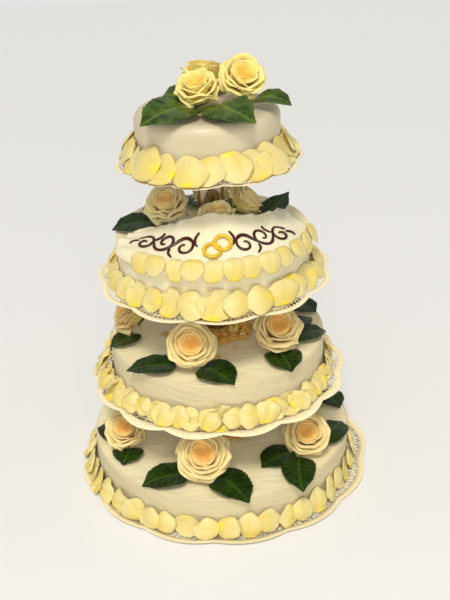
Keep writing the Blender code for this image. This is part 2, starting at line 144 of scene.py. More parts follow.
def grid_normals(grid: Array, wrap: bool = False) -> Array:
    """Normals of a grid of points: across x along, from central differences.

    Args:
        grid: points as rows, columns, xyz.
        wrap: whether the last column meets the first.
    Returns:
        A unit normal for each point.
    """
    across = np.gradient(grid, axis=1)
    if wrap:
        across = (np.roll(grid, -1, 1) - np.roll(grid, 1, 1)) / 2.0
    return unit(np.cross(across, np.gradient(grid, axis=0)))


class MeshBuffer:
    """Gathers gridded surfaces and puts them into one mesh."""

    def __init__(self) -> None:
        """Start empty."""
        self.points: list[Array] = []
        self.tones: list[Array] = []
        self.flows: list[Array] = []
        self.corners: list[Array] = []
        self.sizes: list[Array] = []
        self.count = 0

    def add_points(self, points: Array, tone: Optional[Array], flow: Optional[Array]) -> int:
        """Add points and what is known at each.

        Args:
            points: any array of xyz.
            tone: four values for all or for each, or None for zeros.
            flow: three values a point, or None for the points themselves.
        Returns:
            The index of the first new point.
        """
        flat = points.reshape(-1, 3)
        start = self.count
        self.points.append(flat)
        tone = np.zeros(4) if tone is None else tone
        self.tones.append(np.broadcast_to(tone, (*points.shape[:-1], 4)).reshape(-1, 4))
        self.flows.append(flat if flow is None else flow.reshape(-1, 3))
        self.count += len(flat)
        return start

    def add_faces(self, faces: Array) -> None:
        """Add faces given as rows of corner indices, all of one size."""
        self.corners.append(faces.ravel())
        self.sizes.append(np.full(len(faces), faces.shape[1]))

    def sheet(self, grid: Array, tone: Optional[Array] = None, flow: Optional[Array] = None,
              wrap: bool = False, keep: Optional[Array] = None, flip: bool = False) -> None:
        """Add an open surface whose faces look along across x along.

        Args:
            grid: points as rows, columns, xyz.
            tone: values at each point.
            flow: pattern coordinates at each point.
            wrap: whether the last column joins the first.
            keep: which cells get a face, as rows - 1 by columns (- 1 if not wrapped).
            flip: whether the faces look the other way.
        """
        rows, columns = grid.shape[:2]
        index = self.add_points(grid, tone, flow) + np.arange(rows * columns).reshape(rows, columns)
        nearer = index if wrap else index[:, :-1]
        further = np.roll(index, -1, 1) if wrap else index[:, 1:]
        faces = np.stack([nearer[:-1], further[:-1], further[1:], nearer[1:]], -1)
        faces = faces[keep] if keep is not None else faces.reshape(-1, 4)
        self.add_faces(faces[:, ::-1] if flip else faces)

    def closed(self, grid: Array, tone: Optional[Array] = None, flow: Optional[Array] = None,
               flip: bool = True) -> None:
        """Add a surface whose columns meet, with one face over its first ring and one over its last.

        Args:
            grid: points as rows, columns, xyz.
            tone: values at each point.
            flow: pattern coordinates at each point.
            flip: whether the faces look the other way than along across x along.
        """
        count = grid.shape[1]
        ring = np.arange(count)[None, :] if flip else np.arange(count)[None, ::-1]
        start = self.count
        self.sheet(grid, tone, flow, wrap=True, flip=flip)
        self.add_faces(start + ring)
        self.add_faces(self.count - count + ring[:, ::-1])

    def shell(self, grid: Array, thickness: float, tone: Optional[Array] = None) -> None:
        """Add a thin closed skin: the grid moved half the thickness each way, and its rim.

        Args:
            grid: points as rows, columns, xyz.
            thickness: distance between the two faces.
            tone: values at each point.
        """
        rows, columns = grid.shape[:2]
        shift = grid_normals(grid) * thickness / 2.0
        count = rows * columns
        start = self.add_points(np.stack([grid + shift, grid - shift]), tone, None)
        index = start + np.arange(count).reshape(rows, columns)
        faces = np.stack([index[:-1, :-1], index[:-1, 1:], index[1:, 1:], index[1:, :-1]], -1)
        faces = faces.reshape(-1, 4)
        rim = np.concatenate([index[0, :-1], index[:-1, -1], index[-1, :0:-1], index[:0:-1, 0]])
        after = np.roll(rim, -1)
        self.add_faces(faces)
        self.add_faces(faces[:, ::-1] + count)
        self.add_faces(np.stack([after, rim, rim + count, after + count], -1))

    def tube(self, path: Array, radius: Number, sides: int = 8, tone: Optional[Array] = None) -> None:
        """Add a round strand along a path, closed at both ends by a narrowing ring.

        Args:
            path: points along the middle.
            radius: one radius, or one for each point.
            sides: points round the strand.
            tone: four values for the whole strand.
        """
        along = unit(np.gradient(path, axis=0))
        guide = np.array([0.31, 0.17, 0.93])
        side = unit(np.cross(along, guide))
        over = np.cross(side, along)
        turn = 2.0 * math.pi * np.arange(sides) / sides
        radius = np.broadcast_to(radius, len(path))
        ring = (side[:, None] * np.cos(turn)[None, :, None] + over[:, None] * np.sin(turn)[None, :, None])
        grid = path[:, None] + ring * radius[:, None, None]
        ends = [path[:1, None] - along[:1, None] * radius[0] * 0.6 + ring[:1] * radius[0] * 0.5, grid,
                path[-1:, None] + along[-1:, None] * radius[-1] * 0.6 + ring[-1:] * radius[-1] * 0.5]
        self.closed(np.concatenate(ends), tone, flip=False)

    def build(self, name: str, material: Material) -> bpy.types.Object:
        """Put everything gathered into a new object at the origin.

        Args:
            name: the piece's name.
            material: its material.
        Returns:
            The new object, linked to the scene.
        """
        mesh = bpy.data.meshes.new(name)
        corners = np.concatenate(self.corners).astype(np.int32)
        sizes = np.concatenate(self.sizes).astype(np.int32)
        mesh.vertices.add(self.count)
        mesh.vertices.foreach_set("co", np.concatenate(self.points).astype(np.float32).ravel())
        mesh.loops.add(len(corners))
        mesh.loops.foreach_set("vertex_index", corners)
        mesh.polygons.add(len(sizes))
        mesh.polygons.foreach_set("loop_start", np.concatenate([[0], np.cumsum(sizes)[:-1]]).astype(np.int32))
        mesh.polygons.foreach_set("use_smooth", np.ones(len(sizes), bool))
        tone = mesh.attributes.new("tone", "FLOAT_COLOR", "POINT")
        tone.data.foreach_set("color", np.concatenate(self.tones).astype(np.float32).ravel())
        flow = mesh.attributes.new("flow", "FLOAT_VECTOR", "POINT")
        flow.data.foreach_set("vector", np.concatenate(self.flows).astype(np.float32).ravel())
        mesh.update(calc_edges=True)
        mesh.validate()
        mesh.materials.append(material)
        piece = bpy.data.objects.new(name, mesh)
        bpy.context.scene.collection.objects.link(piece)
        return piece


def place(piece: bpy.types.Object, slot: str, *nodes: str) -> None:
    """Ride a piece on the cake and let it stand for solids of the frame.

    Args:
        piece: the finished object.
        slot: not used.
        nodes: the solids that it stands for, if any.
    """
    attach(piece, "root")
    if nodes:
        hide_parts(*nodes)
    LOG.info("%s: %d faces", piece.name, len(piece.data.polygons))


# --------------------------------------------------------------------- finishes
class Graph:
    """A short way to write a node material."""

    def __init__(self, name: str) -> None:
        """Make the material with its shader.

        Args:
            name: the material's name.
        """
        self.material = bpy.data.materials.new(name)
        self.material.use_nodes = True
        self.tree = self.material.node_tree
        self.shader = self.tree.nodes["Principled BSDF"]

    def node(self, kind: str, inputs: Optional[dict] = None, **settings: str) -> bpy.types.Node:
        """Add a node; each input is a value or a socket to link.

        Args:
            kind: the node's type, without the first word.
            inputs: socket name or index to value or socket.
            settings: properties of the node.
        Returns:
            The node.
        """
        made = self.tree.nodes.new("ShaderNode" + kind)
        for key, value in settings.items():
            setattr(made, key, value)
        for key, value in (inputs or {}).items():
            if isinstance(value, bpy.types.NodeSocket):
                self.tree.links.new(value, made.inputs[key])
            else:
                made.inputs[key].default_value = value
        return made

    def position(self, scale: Sequence[float] = (1.0, 1.0, 1.0)) -> Socket:
        """Object coordinates, stretched by a scale."""
        where = self.node("TexCoord").outputs["Object"]
        return self.node("Mapping", {"Vector": where, "Scale": scale}).outputs[0]

    def attribute(self, name: str) -> Socket:
        """The three values of a named attribute."""
        return self.node("Attribute", attribute_name=name).outputs["Vector"]

    def tones(self) -> tuple[Socket, Socket, Socket, Socket]:
        """The four values of the tone attribute.

        Returns:
            A socket for each.
        """
        held = self.node("Attribute", attribute_name="tone")
        parts = self.node("SeparateColor", {"Color": held.outputs["Color"]})
        return parts.outputs[0], parts.outputs[1], parts.outputs[2], held.outputs["Alpha"]

    def noise(self, scale: float, detail: float = 3.0, roughness: float = 0.5,
              vector: Optional[Socket] = None) -> Socket:
        """Noise of about 0 to 1.

        Args:
            scale: waves in a metre, or in one unit of the vector.
            detail: finer layers of noise.
            roughness: how strong each finer layer is.
            vector: where it is read, or None for Object coordinates.
        Returns:
            The noise.
        """
        inputs = {"Scale": scale, "Detail": detail, "Roughness": roughness,
                  "Vector": vector if vector is not None else self.position()}
        return self.node("TexNoise", inputs).outputs[0]

    def ramp(self, value: Socket, *stops: tuple[float, Colour]) -> Socket:
        """Colours along a value, eased between the stops.

        Args:
            value: what the colour follows.
            stops: places from 0 to 1, each with its colour.
        Returns:
            The colour.
        """
        made = self.node("ValToRGB", {"Fac": value})
        made.color_ramp.interpolation = "EASE"
        while len(made.color_ramp.elements) < len(stops):
            made.color_ramp.elements.new(0.5)
        for element, (place_at, colour) in zip(made.color_ramp.elements, stops):
            element.position = place_at
            element.color = (*colour, 1.0)
        return made.outputs[0]

    def step(self, value: Socket, low: float, high: float, first: float = 0.0, last: float = 1.0) -> Socket:
        """A value carried smoothly from one range to another, and held at its ends."""
        inputs = {"Value": value, 1: low, 2: high, 3: first, 4: last}
        return self.node("MapRange", inputs, interpolation_type="SMOOTHSTEP").outputs[0]

    def maths(self, operation: str, first: Socket, second: Socket = 0.0) -> Socket:
        """One sum on one or two values."""
        return self.node("Math", {0: first, 1: second}, operation=operation).outputs[0]

    def blend(self, share: Socket, first: Socket | Colour, second: Socket | Colour) -> Socket:
        """Two colours mixed.

        Args:
            share: how much of the second one.
            first: the colour at 0.
            second: the colour at 1.
        Returns:
            The mixed colour.
        """
        made = self.node("MixRGB", {0: share}, blend_type="MIX")
        for index, value in ((1, first), (2, second)):
            if isinstance(value, bpy.types.NodeSocket):
                self.tree.links.new(value, made.inputs[index])
            else:
                made.inputs[index].default_value = (*value, 1.0)
        return made.outputs[0]

    def bump(self, height: Socket, distance: float, strength: float = 1.0,
             normal: Optional[Socket] = None) -> Socket:
        """A normal bent by a height in units of the distance.

        Args:
            height: from 0 to 1.
            distance: how high 1 stands, in metres.
            strength: share of the relief that is used.
            normal: a bent normal to start from.
        Returns:
            The new normal.
        """
        inputs = {"Height": height, "Distance": distance, "Strength": strength}
        if normal is not None:
            inputs["Normal"] = normal
        return self.node("Bump", inputs).outputs[0]

    def veins(self, across: Socket, along: Socket, seed: Socket, fine: float, long: float) -> Socket:
        """Noise drawn out along a petal: fine waves across it and long ones along it."""
        where = {0: self.maths("MULTIPLY", across, fine), 1: self.maths("MULTIPLY", along, long), 2: seed}
        return self.noise(1.0, 3.0, 0.6, self.node("CombineXYZ", where).outputs[0])

    def finish(self, **sockets: Socket | Colour) -> Material:
        """Set or link the shader's sockets.

        Args:
            sockets: a value or a socket for each, named with underscores.
        Returns:
            The material.
        """
        for key, value in sockets.items():
            socket = self.shader.inputs[key.replace("_", " ")]
            if isinstance(value, bpy.types.NodeSocket):
                self.tree.links.new(value, socket)
            else:
                socket.default_value = (*value, 1.0) if socket.type == "RGBA" and len(value) == 3 else value
        return self.material


@dataclass(frozen=True)
class IcingFinish:
    """Cream icing spread with a knife: pale, mottled, streaked along its flow, with painted shade on the
    walls of the two lower tiers.
    """

    light: Colour = srgb(250, 239, 200)
    dark: Colour = srgb(245, 231, 186)
    # painted shade: a darker, greyer colour blended onto the walls of the bottom and lower tiers, because the
    # sides take less light than the tops
    wall: Colour = srgb(208, 194, 153)
    streak_depth: float = 0.0008

    def material(self) -> Material:
        """Streak noise on the flow attribute and soft mottling on Object coordinates.

        The first tone is how strong the streaks are; where it is high, the darker wall colour comes in as
        painted shade on the wall.

        Returns:
            The material.
        """
        graph = Graph("icing")
        flow = graph.attribute("flow")
        mottle = graph.noise(28.0, 4.0, 0.55)
        colour = graph.ramp(mottle, (0.3, self.dark), (0.7, self.light))
        side = graph.tones()[0]
        # painted shade: the walls of the two lower tiers are darkened towards the wall colour
        colour = graph.blend(graph.step(side, 0.5, 0.9, 0.0, 0.75), colour, self.wall)
        streaks = graph.maths("MULTIPLY", graph.noise(300.0, 2.0, 0.5, flow), side)
        swathes = graph.noise(120.0, 2.0, 0.5, flow)
        grain = graph.noise(900.0, 2.0)
        normal = graph.bump(swathes, self.streak_depth * 3.0, 0.5)
        normal = graph.bump(streaks, self.streak_depth, 0.5, normal)
        normal = graph.bump(grain, 0.0001, 0.4, normal)
        rough = graph.step(streaks, 0.3, 0.7, 0.42, 0.62)
        return graph.finish(Base_Color=colour, Roughness=rough, Normal=normal, Subsurface_Weight=0.25,
                            Subsurface_Radius=(1.0, 0.7, 0.4), Subsurface_Scale=0.004, Specular_IOR_Level=0.4)


@dataclass(frozen=True)
class FondantFinish:
    """Smooth rolled icing with a satin face."""

    name: str = "fondant"
    light: Colour = srgb(218, 207, 176)
    dark: Colour = srgb(211, 198, 164)
    roughness: float = 0.38

    def material(self) -> Material:
        """Faint cloudy colour, faint dimples and a satin gloss.

        Returns:
            The material.
        """
        graph = Graph(self.name)
        cloud = graph.noise(14.0, 3.0)
        colour = graph.ramp(cloud, (0.3, self.dark), (0.7, self.light))
        normal = graph.bump(graph.noise(60.0, 2.0), 0.0006, 0.25)
        normal = graph.bump(graph.noise(700.0, 2.0), 0.00006, 0.3, normal)
        rough = graph.step(graph.noise(90.0), 0.3, 0.7, self.roughness - 0.05, self.roughness + 0.07)
        return graph.finish(Base_Color=colour, Roughness=rough, Normal=normal, Subsurface_Weight=0.3,
                            Subsurface_Radius=(1.0, 0.7, 0.4), Subsurface_Scale=0.005,
                            Specular_IOR_Level=0.45)


@dataclass(frozen=True)
class PaperFinish:
    """Cream embossed paper."""

    light: Colour = srgb(252, 240, 204)
    dark: Colour = srgb(240, 224, 182)

    def material(self) -> Material:
        """Fibre noise in colour and relief, with a fine pressed grain.

        Returns:
            The material.
        """
        graph = Graph("doily_paper")
        fibre = graph.noise(420.0, 4.0, 0.6)
        colour = graph.ramp(fibre, (0.3, self.dark), (0.65, self.light))
        dots = graph.node("TexVoronoi", {"Vector": graph.position(), "Scale": 480.0}).outputs["Distance"]
        normal = graph.bump(graph.step(dots, 0.1, 0.5), 0.00015, 0.35)
        normal = graph.bump(fibre, 0.0001, 0.4, normal)
        return graph.finish(Base_Color=colour, Roughness=0.8, Normal=normal, Specular_IOR_Level=0.25)


@dataclass(frozen=True)
class LoosePetalFinish:
    """Pale yellow petals with a deep yellow spot where each was plucked, and painted shade along each crease.
    """

    pale: Colour = srgb(230, 214, 147)
    body: Colour = srgb(228, 206, 117)
    spot: Colour = srgb(248, 220, 36)
    # painted shade: the deeper yellow laid along each petal's crease
    fold: Colour = srgb(242, 214, 104)

    def material(self) -> Material:
        """Colour by the distance from the foot's middle, painted shade along the crease, fine veins, and each
        petal a little different.

        Returns:
            The material.
        """
        graph = Graph("loose_petal")
        across, along, seed, crease = graph.tones()
        aside = graph.maths("MULTIPLY", graph.maths("ABSOLUTE", graph.maths("SUBTRACT", across, 0.5)), 0.7)
        squares = graph.maths("ADD", graph.maths("POWER", along, 2.0), graph.maths("POWER", aside, 2.0))
        mottle = graph.maths("MULTIPLY", graph.maths("SUBTRACT", graph.noise(90.0, 3.0), 0.5), 0.16)
        away = graph.maths("ADD", graph.maths("SQRT", squares), mottle)
        colour = graph.ramp(away, (0.0, self.spot), (0.06, self.spot), (0.26, self.body), (0.85, self.pale))
        colour = graph.blend(graph.step(seed, 0.45, 1.0, 0.0, 0.55), colour, self.pale)
        # painted shade: the crease tone tints the petal towards the fold colour
        colour = graph.blend(graph.maths("MULTIPLY", crease, 0.35), colour, self.fold)
        normal = graph.bump(graph.veins(across, along, seed, 26.0, 1.6), 0.0005, 0.22)
        normal = graph.bump(graph.noise(260.0, 3.0), 0.0003, 0.2, normal)
        return graph.finish(Base_Color=colour, Roughness=0.46, Normal=normal, Subsurface_Weight=0.08,
                            Subsurface_Radius=(1.0, 0.8, 0.5), Subsurface_Scale=0.001,
                            Specular_IOR_Level=0.4, Sheen_Weight=0.15, Sheen_Roughness=0.4)


@dataclass(frozen=True)
class BloomFinish:
    """Rose petals: cream outside, warm towards the heart and deep in the folds."""

    name: str
    rim_heart: Colour
    rim_outer: Colour
    deep_heart: Colour
    deep_outer: Colour
    back: Colour = srgb(236, 226, 158)
    bruise: Colour = srgb(206, 150, 84)

    def material(self) -> Material:
        """Tone holds across, along, layer and seed: two ramps on the layer, mixed along the petal.

        Returns:
            The material.
        """
        graph = Graph(self.name)
        across, along, layer, seed = graph.tones()
        rim = graph.ramp(layer, (0.0, self.rim_heart), (0.30, self.rim_heart), (0.75, self.rim_outer))
        deep = graph.ramp(layer, (0.0, self.deep_heart), (0.40, self.deep_heart), (0.85, self.deep_outer))
        mottle = graph.maths("MULTIPLY", graph.maths("SUBTRACT", graph.noise(120.0, 3.0), 0.5), 0.25)
        height = graph.step(graph.maths("ADD", along, mottle), 0.50, 0.82)
        colour = graph.blend(height, deep, rim)
        foot = graph.maths("MULTIPLY", graph.step(along, 0.0, 0.5, 1.0, 0.0), graph.step(layer, 0.6, 0.9))
        colour = graph.blend(graph.maths("MULTIPLY", foot, 0.8), colour, self.back)
        patches = graph.step(graph.noise(150.0, 2.0), 0.48, 0.62, 0.0, 0.45)
        edge = graph.maths("MULTIPLY", graph.step(along, 0.965, 1.0), patches)
        colour = graph.blend(edge, colour, self.bruise)
        normal = graph.bump(graph.veins(across, along, seed, 30.0, 1.5), 0.0004, 0.25)
        normal = graph.bump(graph.noise(220.0, 3.0), 0.0003, 0.25, normal)
        return graph.finish(Base_Color=colour, Roughness=0.5, Normal=normal, Subsurface_Weight=0.1,
                            Subsurface_Radius=(1.0, 0.8, 0.5), Subsurface_Scale=0.0008,
                            Specular_IOR_Level=0.35, Sheen_Weight=0.2, Sheen_Roughness=0.45)


@dataclass(frozen=True)
class LeafFinish:
    """Glossy rose leaves with paler veins."""

    name: str
    blade: Colour
    blade_dark: Colour
    vein: Colour

    def material(self) -> Material:
        """The fourth tone is how near a vein is.

        Returns:
            The material.
        """
        graph = Graph(self.name)
        vein = graph.tones()[3]
        colour = graph.ramp(graph.noise(70.0, 4.0), (0.3, self.blade_dark), (0.7, self.blade))
        colour = graph.blend(graph.maths("MULTIPLY", vein, 0.55), colour, self.vein)
        cells = graph.node("TexVoronoi", {"Vector": graph.position(), "Scale": 620.0}).outputs["Distance"]
        normal = graph.bump(cells, 0.0002, 0.3)
        normal = graph.bump(graph.noise(160.0, 3.0), 0.0004, 0.3, normal)
        rough = graph.step(graph.noise(240.0, 3.0), 0.3, 0.7, 0.24, 0.42)
        return graph.finish(Base_Color=colour, Roughness=rough, Normal=normal, Specular_IOR_Level=0.32,
                            Coat_Weight=0.06, Coat_Roughness=0.15)


@dataclass(frozen=True)
class GlossFinish:
    """Piped icing with a wet gloss."""

    name: str
    light: Colour
    dark: Colour
    roughness: float

    def material(self) -> Material:
        """Slight mottling, uneven gloss and small dents.

        Returns:
            The material.
        """
        graph = Graph(self.name)
        colour = graph.ramp(graph.noise(160.0, 3.0), (0.3, self.dark), (0.7, self.light))
        normal = graph.bump(graph.noise(380.0, 2.0), 0.0003, 0.4)
        rough = graph.step(graph.noise(200.0), 0.3, 0.7, self.roughness - 0.07, self.roughness + 0.1)
        return graph.finish(Base_Color=colour, Roughness=rough, Normal=normal, Specular_IOR_Level=0.5)


@dataclass(frozen=True)
class AlmondFinish:
    """Toasted flaked almonds: pale inside each flake and browned at its edge."""

    pale: Colour = srgb(255, 238, 160)
    toast: Colour = srgb(255, 208, 96)
    edge: Colour = srgb(238, 162, 56)

    def material(self) -> Material:
        """Tone holds how far out on the flake, and how toasted the flake is.

        Returns:
            The material.
        """
        graph = Graph("almond")
        outward, toasted = graph.tones()[:2]
        body = graph.ramp(toasted, (0.0, self.pale), (1.0, self.toast))
        colour = graph.blend(graph.step(outward, 0.6, 1.0), body, self.edge)
        colour = graph.blend(graph.step(graph.noise(500.0, 3.0), 0.5, 0.75, 0.0, 0.4), colour, self.edge)
        normal = graph.bump(graph.noise(700.0, 3.0), 0.0003, 0.5)
        return graph.finish(Base_Color=colour, Roughness=0.42, Normal=normal, Subsurface_Weight=0.15,
                            Subsurface_Scale=0.002)


@dataclass(frozen=True)
class MetalFinish:
    """Polished or satin metal with faint fingermarks."""

    name: str
    colour: Colour
    roughness: float

    def material(self) -> Material:
        """Even metal whose gloss varies a little.

        Returns:
            The material.
        """
        graph = Graph(self.name)
        smudge = graph.noise(40.0, 4.0)
        rough = graph.step(smudge, 0.35, 0.7, self.roughness, self.roughness + 0.08)
        normal = graph.bump(graph.noise(300.0, 2.0, vector=graph.position((1.0, 1.0, 0.05))), 0.00005, 0.2)
        return graph.finish(Base_Color=self.colour, Metallic=1.0, Roughness=rough, Normal=normal)


Finish = (IcingFinish | FondantFinish | PaperFinish | LoosePetalFinish | BloomFinish | LeafFinish
          | GlossFinish | AlmondFinish | MetalFinish)


def material_of(finish: Finish) -> Material:
    """A field that holds the finish's material, made with the set."""
    return field(default_factory=finish.material)


@dataclass
class Finishes:
    """One material for each finish, made once."""

    icing: Material = material_of(IcingFinish())
    fondant: Material = material_of(FondantFinish())
    marzipan: Material = material_of(FondantFinish(
        "marzipan", srgb(252, 242, 212), srgb(245, 232, 194), 0.24))
    paper: Material = material_of(PaperFinish())
    petal: Material = material_of(LoosePetalFinish())
    bloom_yellow: Material = material_of(BloomFinish(
        "bloom_yellow", srgb(255, 228, 124), srgb(252, 235, 148), srgb(250, 188, 66), srgb(253, 224, 118)))
    bloom_cream: Material = material_of(BloomFinish(
        "bloom_cream", srgb(250, 212, 134), srgb(241, 220, 156), srgb(240, 176, 74), srgb(244, 208, 122)))
    # pale cream roses whose colours are also raised and warmed as painted light, to lift the upper tier's
    # roses out of the top tier's shade
    bloom_pale_and_painted_light: Material = material_of(BloomFinish(
        "bloom_pale_and_painted_light", srgb(255, 230, 160), srgb(255, 240, 184), srgb(252, 200, 112), srgb(254, 228, 146)))
    leaf: Material = material_of(LeafFinish(
        "leaf_dark", srgb(34, 62, 8), srgb(16, 36, 4), srgb(76, 104, 26)))
    leaf_fresh: Material = material_of(LeafFinish(
        "leaf_fresh", srgb(76, 104, 20), srgb(26, 54, 8), srgb(128, 144, 48)))
    calyx: Material = material_of(LeafFinish(
        "calyx", srgb(112, 138, 60), srgb(70, 100, 34), srgb(150, 168, 92)))
    almond: Material = material_of(AlmondFinish())
    chocolate: Material = material_of(GlossFinish(
        "chocolate_piping", srgb(76, 18, 14), srgb(48, 8, 8), 0.32))
    ring_icing: Material = material_of(GlossFinish(
        "ring_icing", srgb(236, 200, 34), srgb(220, 176, 14), 0.3))
    chrome: Material = material_of(MetalFinish("column_chrome", srgb(176, 160, 138), 0.12))
    steel: Material = material_of(MetalFinish("plate_steel", srgb(196, 192, 186), 0.28))

    def bloom(self, blush: "Blush") -> Material:
        """The material of a rose of the given kind."""
        blooms = {Blush.YELLOW: self.bloom_yellow, Blush.CREAM: self.bloom_cream, Blush.PALE: self.bloom_pale_and_painted_light}
        return blooms[blush]


# ------------------------------------------------------------------------ sizes
class Icing(Enum):
    """How a cake is iced."""

    SPREAD = "spread with a knife, with a sharp rim"
    SMOOTH = "rolled fondant, with a round rim"


class Blush(Enum):
    """Kinds of rose."""

    YELLOW = "clear yellow"
    CREAM = "cream with an apricot heart"
    # pale cream, made brighter still as painted light for roses that sit in shade
    PALE = "pale cream"


class PetalTurn(Enum):
    """Which way a loose petal's foot points on the slope, in degrees from straight down."""

    FOOT_DOWN = 0.0
    FOOT_LEFT = 90.0
    FOOT_RIGHT = -90.0
    FOOT_UP = 180.0


@dataclass(frozen=True)
class RoseSpec:
    """A rose head and its leaves.

    It stands at x, y and is size across, all in millimetres; it faces the bearing and the
    elevation, in degrees, and is tall times as high as a round one.
    """

    tag: str
    x: float
    y: float
    size: float
    bearing: float
    elevation: float
    tall: float
    leaves: tuple["LeafSpec", ...]


@dataclass(frozen=True)
class LeafSpec:
    """A leaf's path from the rose through a bend to its tip, and its blade, in millimetres.

    The path arches by the rise and ends at the tip rise; the blade starts at a share of the
    path and is rolled, in degrees, so that its rear side lifts.
    """

    bend: tuple[float, float]
    tip: tuple[float, float]
    width: float
    rise: float
    tip_rise: float
    start: float = 0.3
    roll: float = 0.0
    fresh: bool = False


@dataclass(frozen=True)
class TierSpec:
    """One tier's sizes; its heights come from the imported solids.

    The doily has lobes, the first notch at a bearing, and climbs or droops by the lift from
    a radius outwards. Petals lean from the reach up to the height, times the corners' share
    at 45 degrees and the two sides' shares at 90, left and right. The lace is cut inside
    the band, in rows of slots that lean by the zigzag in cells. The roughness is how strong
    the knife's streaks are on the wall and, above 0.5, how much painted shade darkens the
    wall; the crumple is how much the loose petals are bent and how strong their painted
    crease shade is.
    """

    name: str
    cake_radius: float
    edge_round: float
    doily_radius: float
    lobes: int
    notch: float
    lift_from: float
    lift: float
    petals: int
    petal_reach: float
    petal_height: float
    petal_size: float
    crumple: float
    zigzag: float
    sides: tuple[float, float]
    band: float
    lace_row: float
    lace_pitch: float
    lace_rows: int
    roughness: float
    roses: tuple[RoseSpec, ...]
    plate_radius: float = 0.0
    doily_shift: float = 0.0
    corners: float = 1.0
    icing: Icing = Icing.SPREAD
    blush: Blush = Blush.CREAM

    @property
    def floor(self) -> float:
        """Height of the cake's underside."""
        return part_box("cake_" + self.name)[0].z

    @property
    def top(self) -> float:
        """Height of the cake's top."""
        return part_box("cake_" + self.name)[1].z

    @property
    def doily(self) -> tuple[float, float]:
        """Heights of the flat middle of the doily: underside and top."""
        low = self.floor - 0.0011
        return low, low + 0.0008

    def surface(self, radius: Array) -> Array:
        """Height of the cake's top: flat, then a quarter circle at the rim, then far below.

        Args:
            radius: distances from the axis.
        Returns:
            The height at each.
        """
        inner = self.cake_radius - self.edge_round
        out = np.clip(radius - inner, 0.0, self.edge_round)
        height = self.top - self.edge_round + np.sqrt(np.maximum(self.edge_round ** 2 - out ** 2, 0.0))
        return np.where(radius > self.cake_radius, -1.0, height)


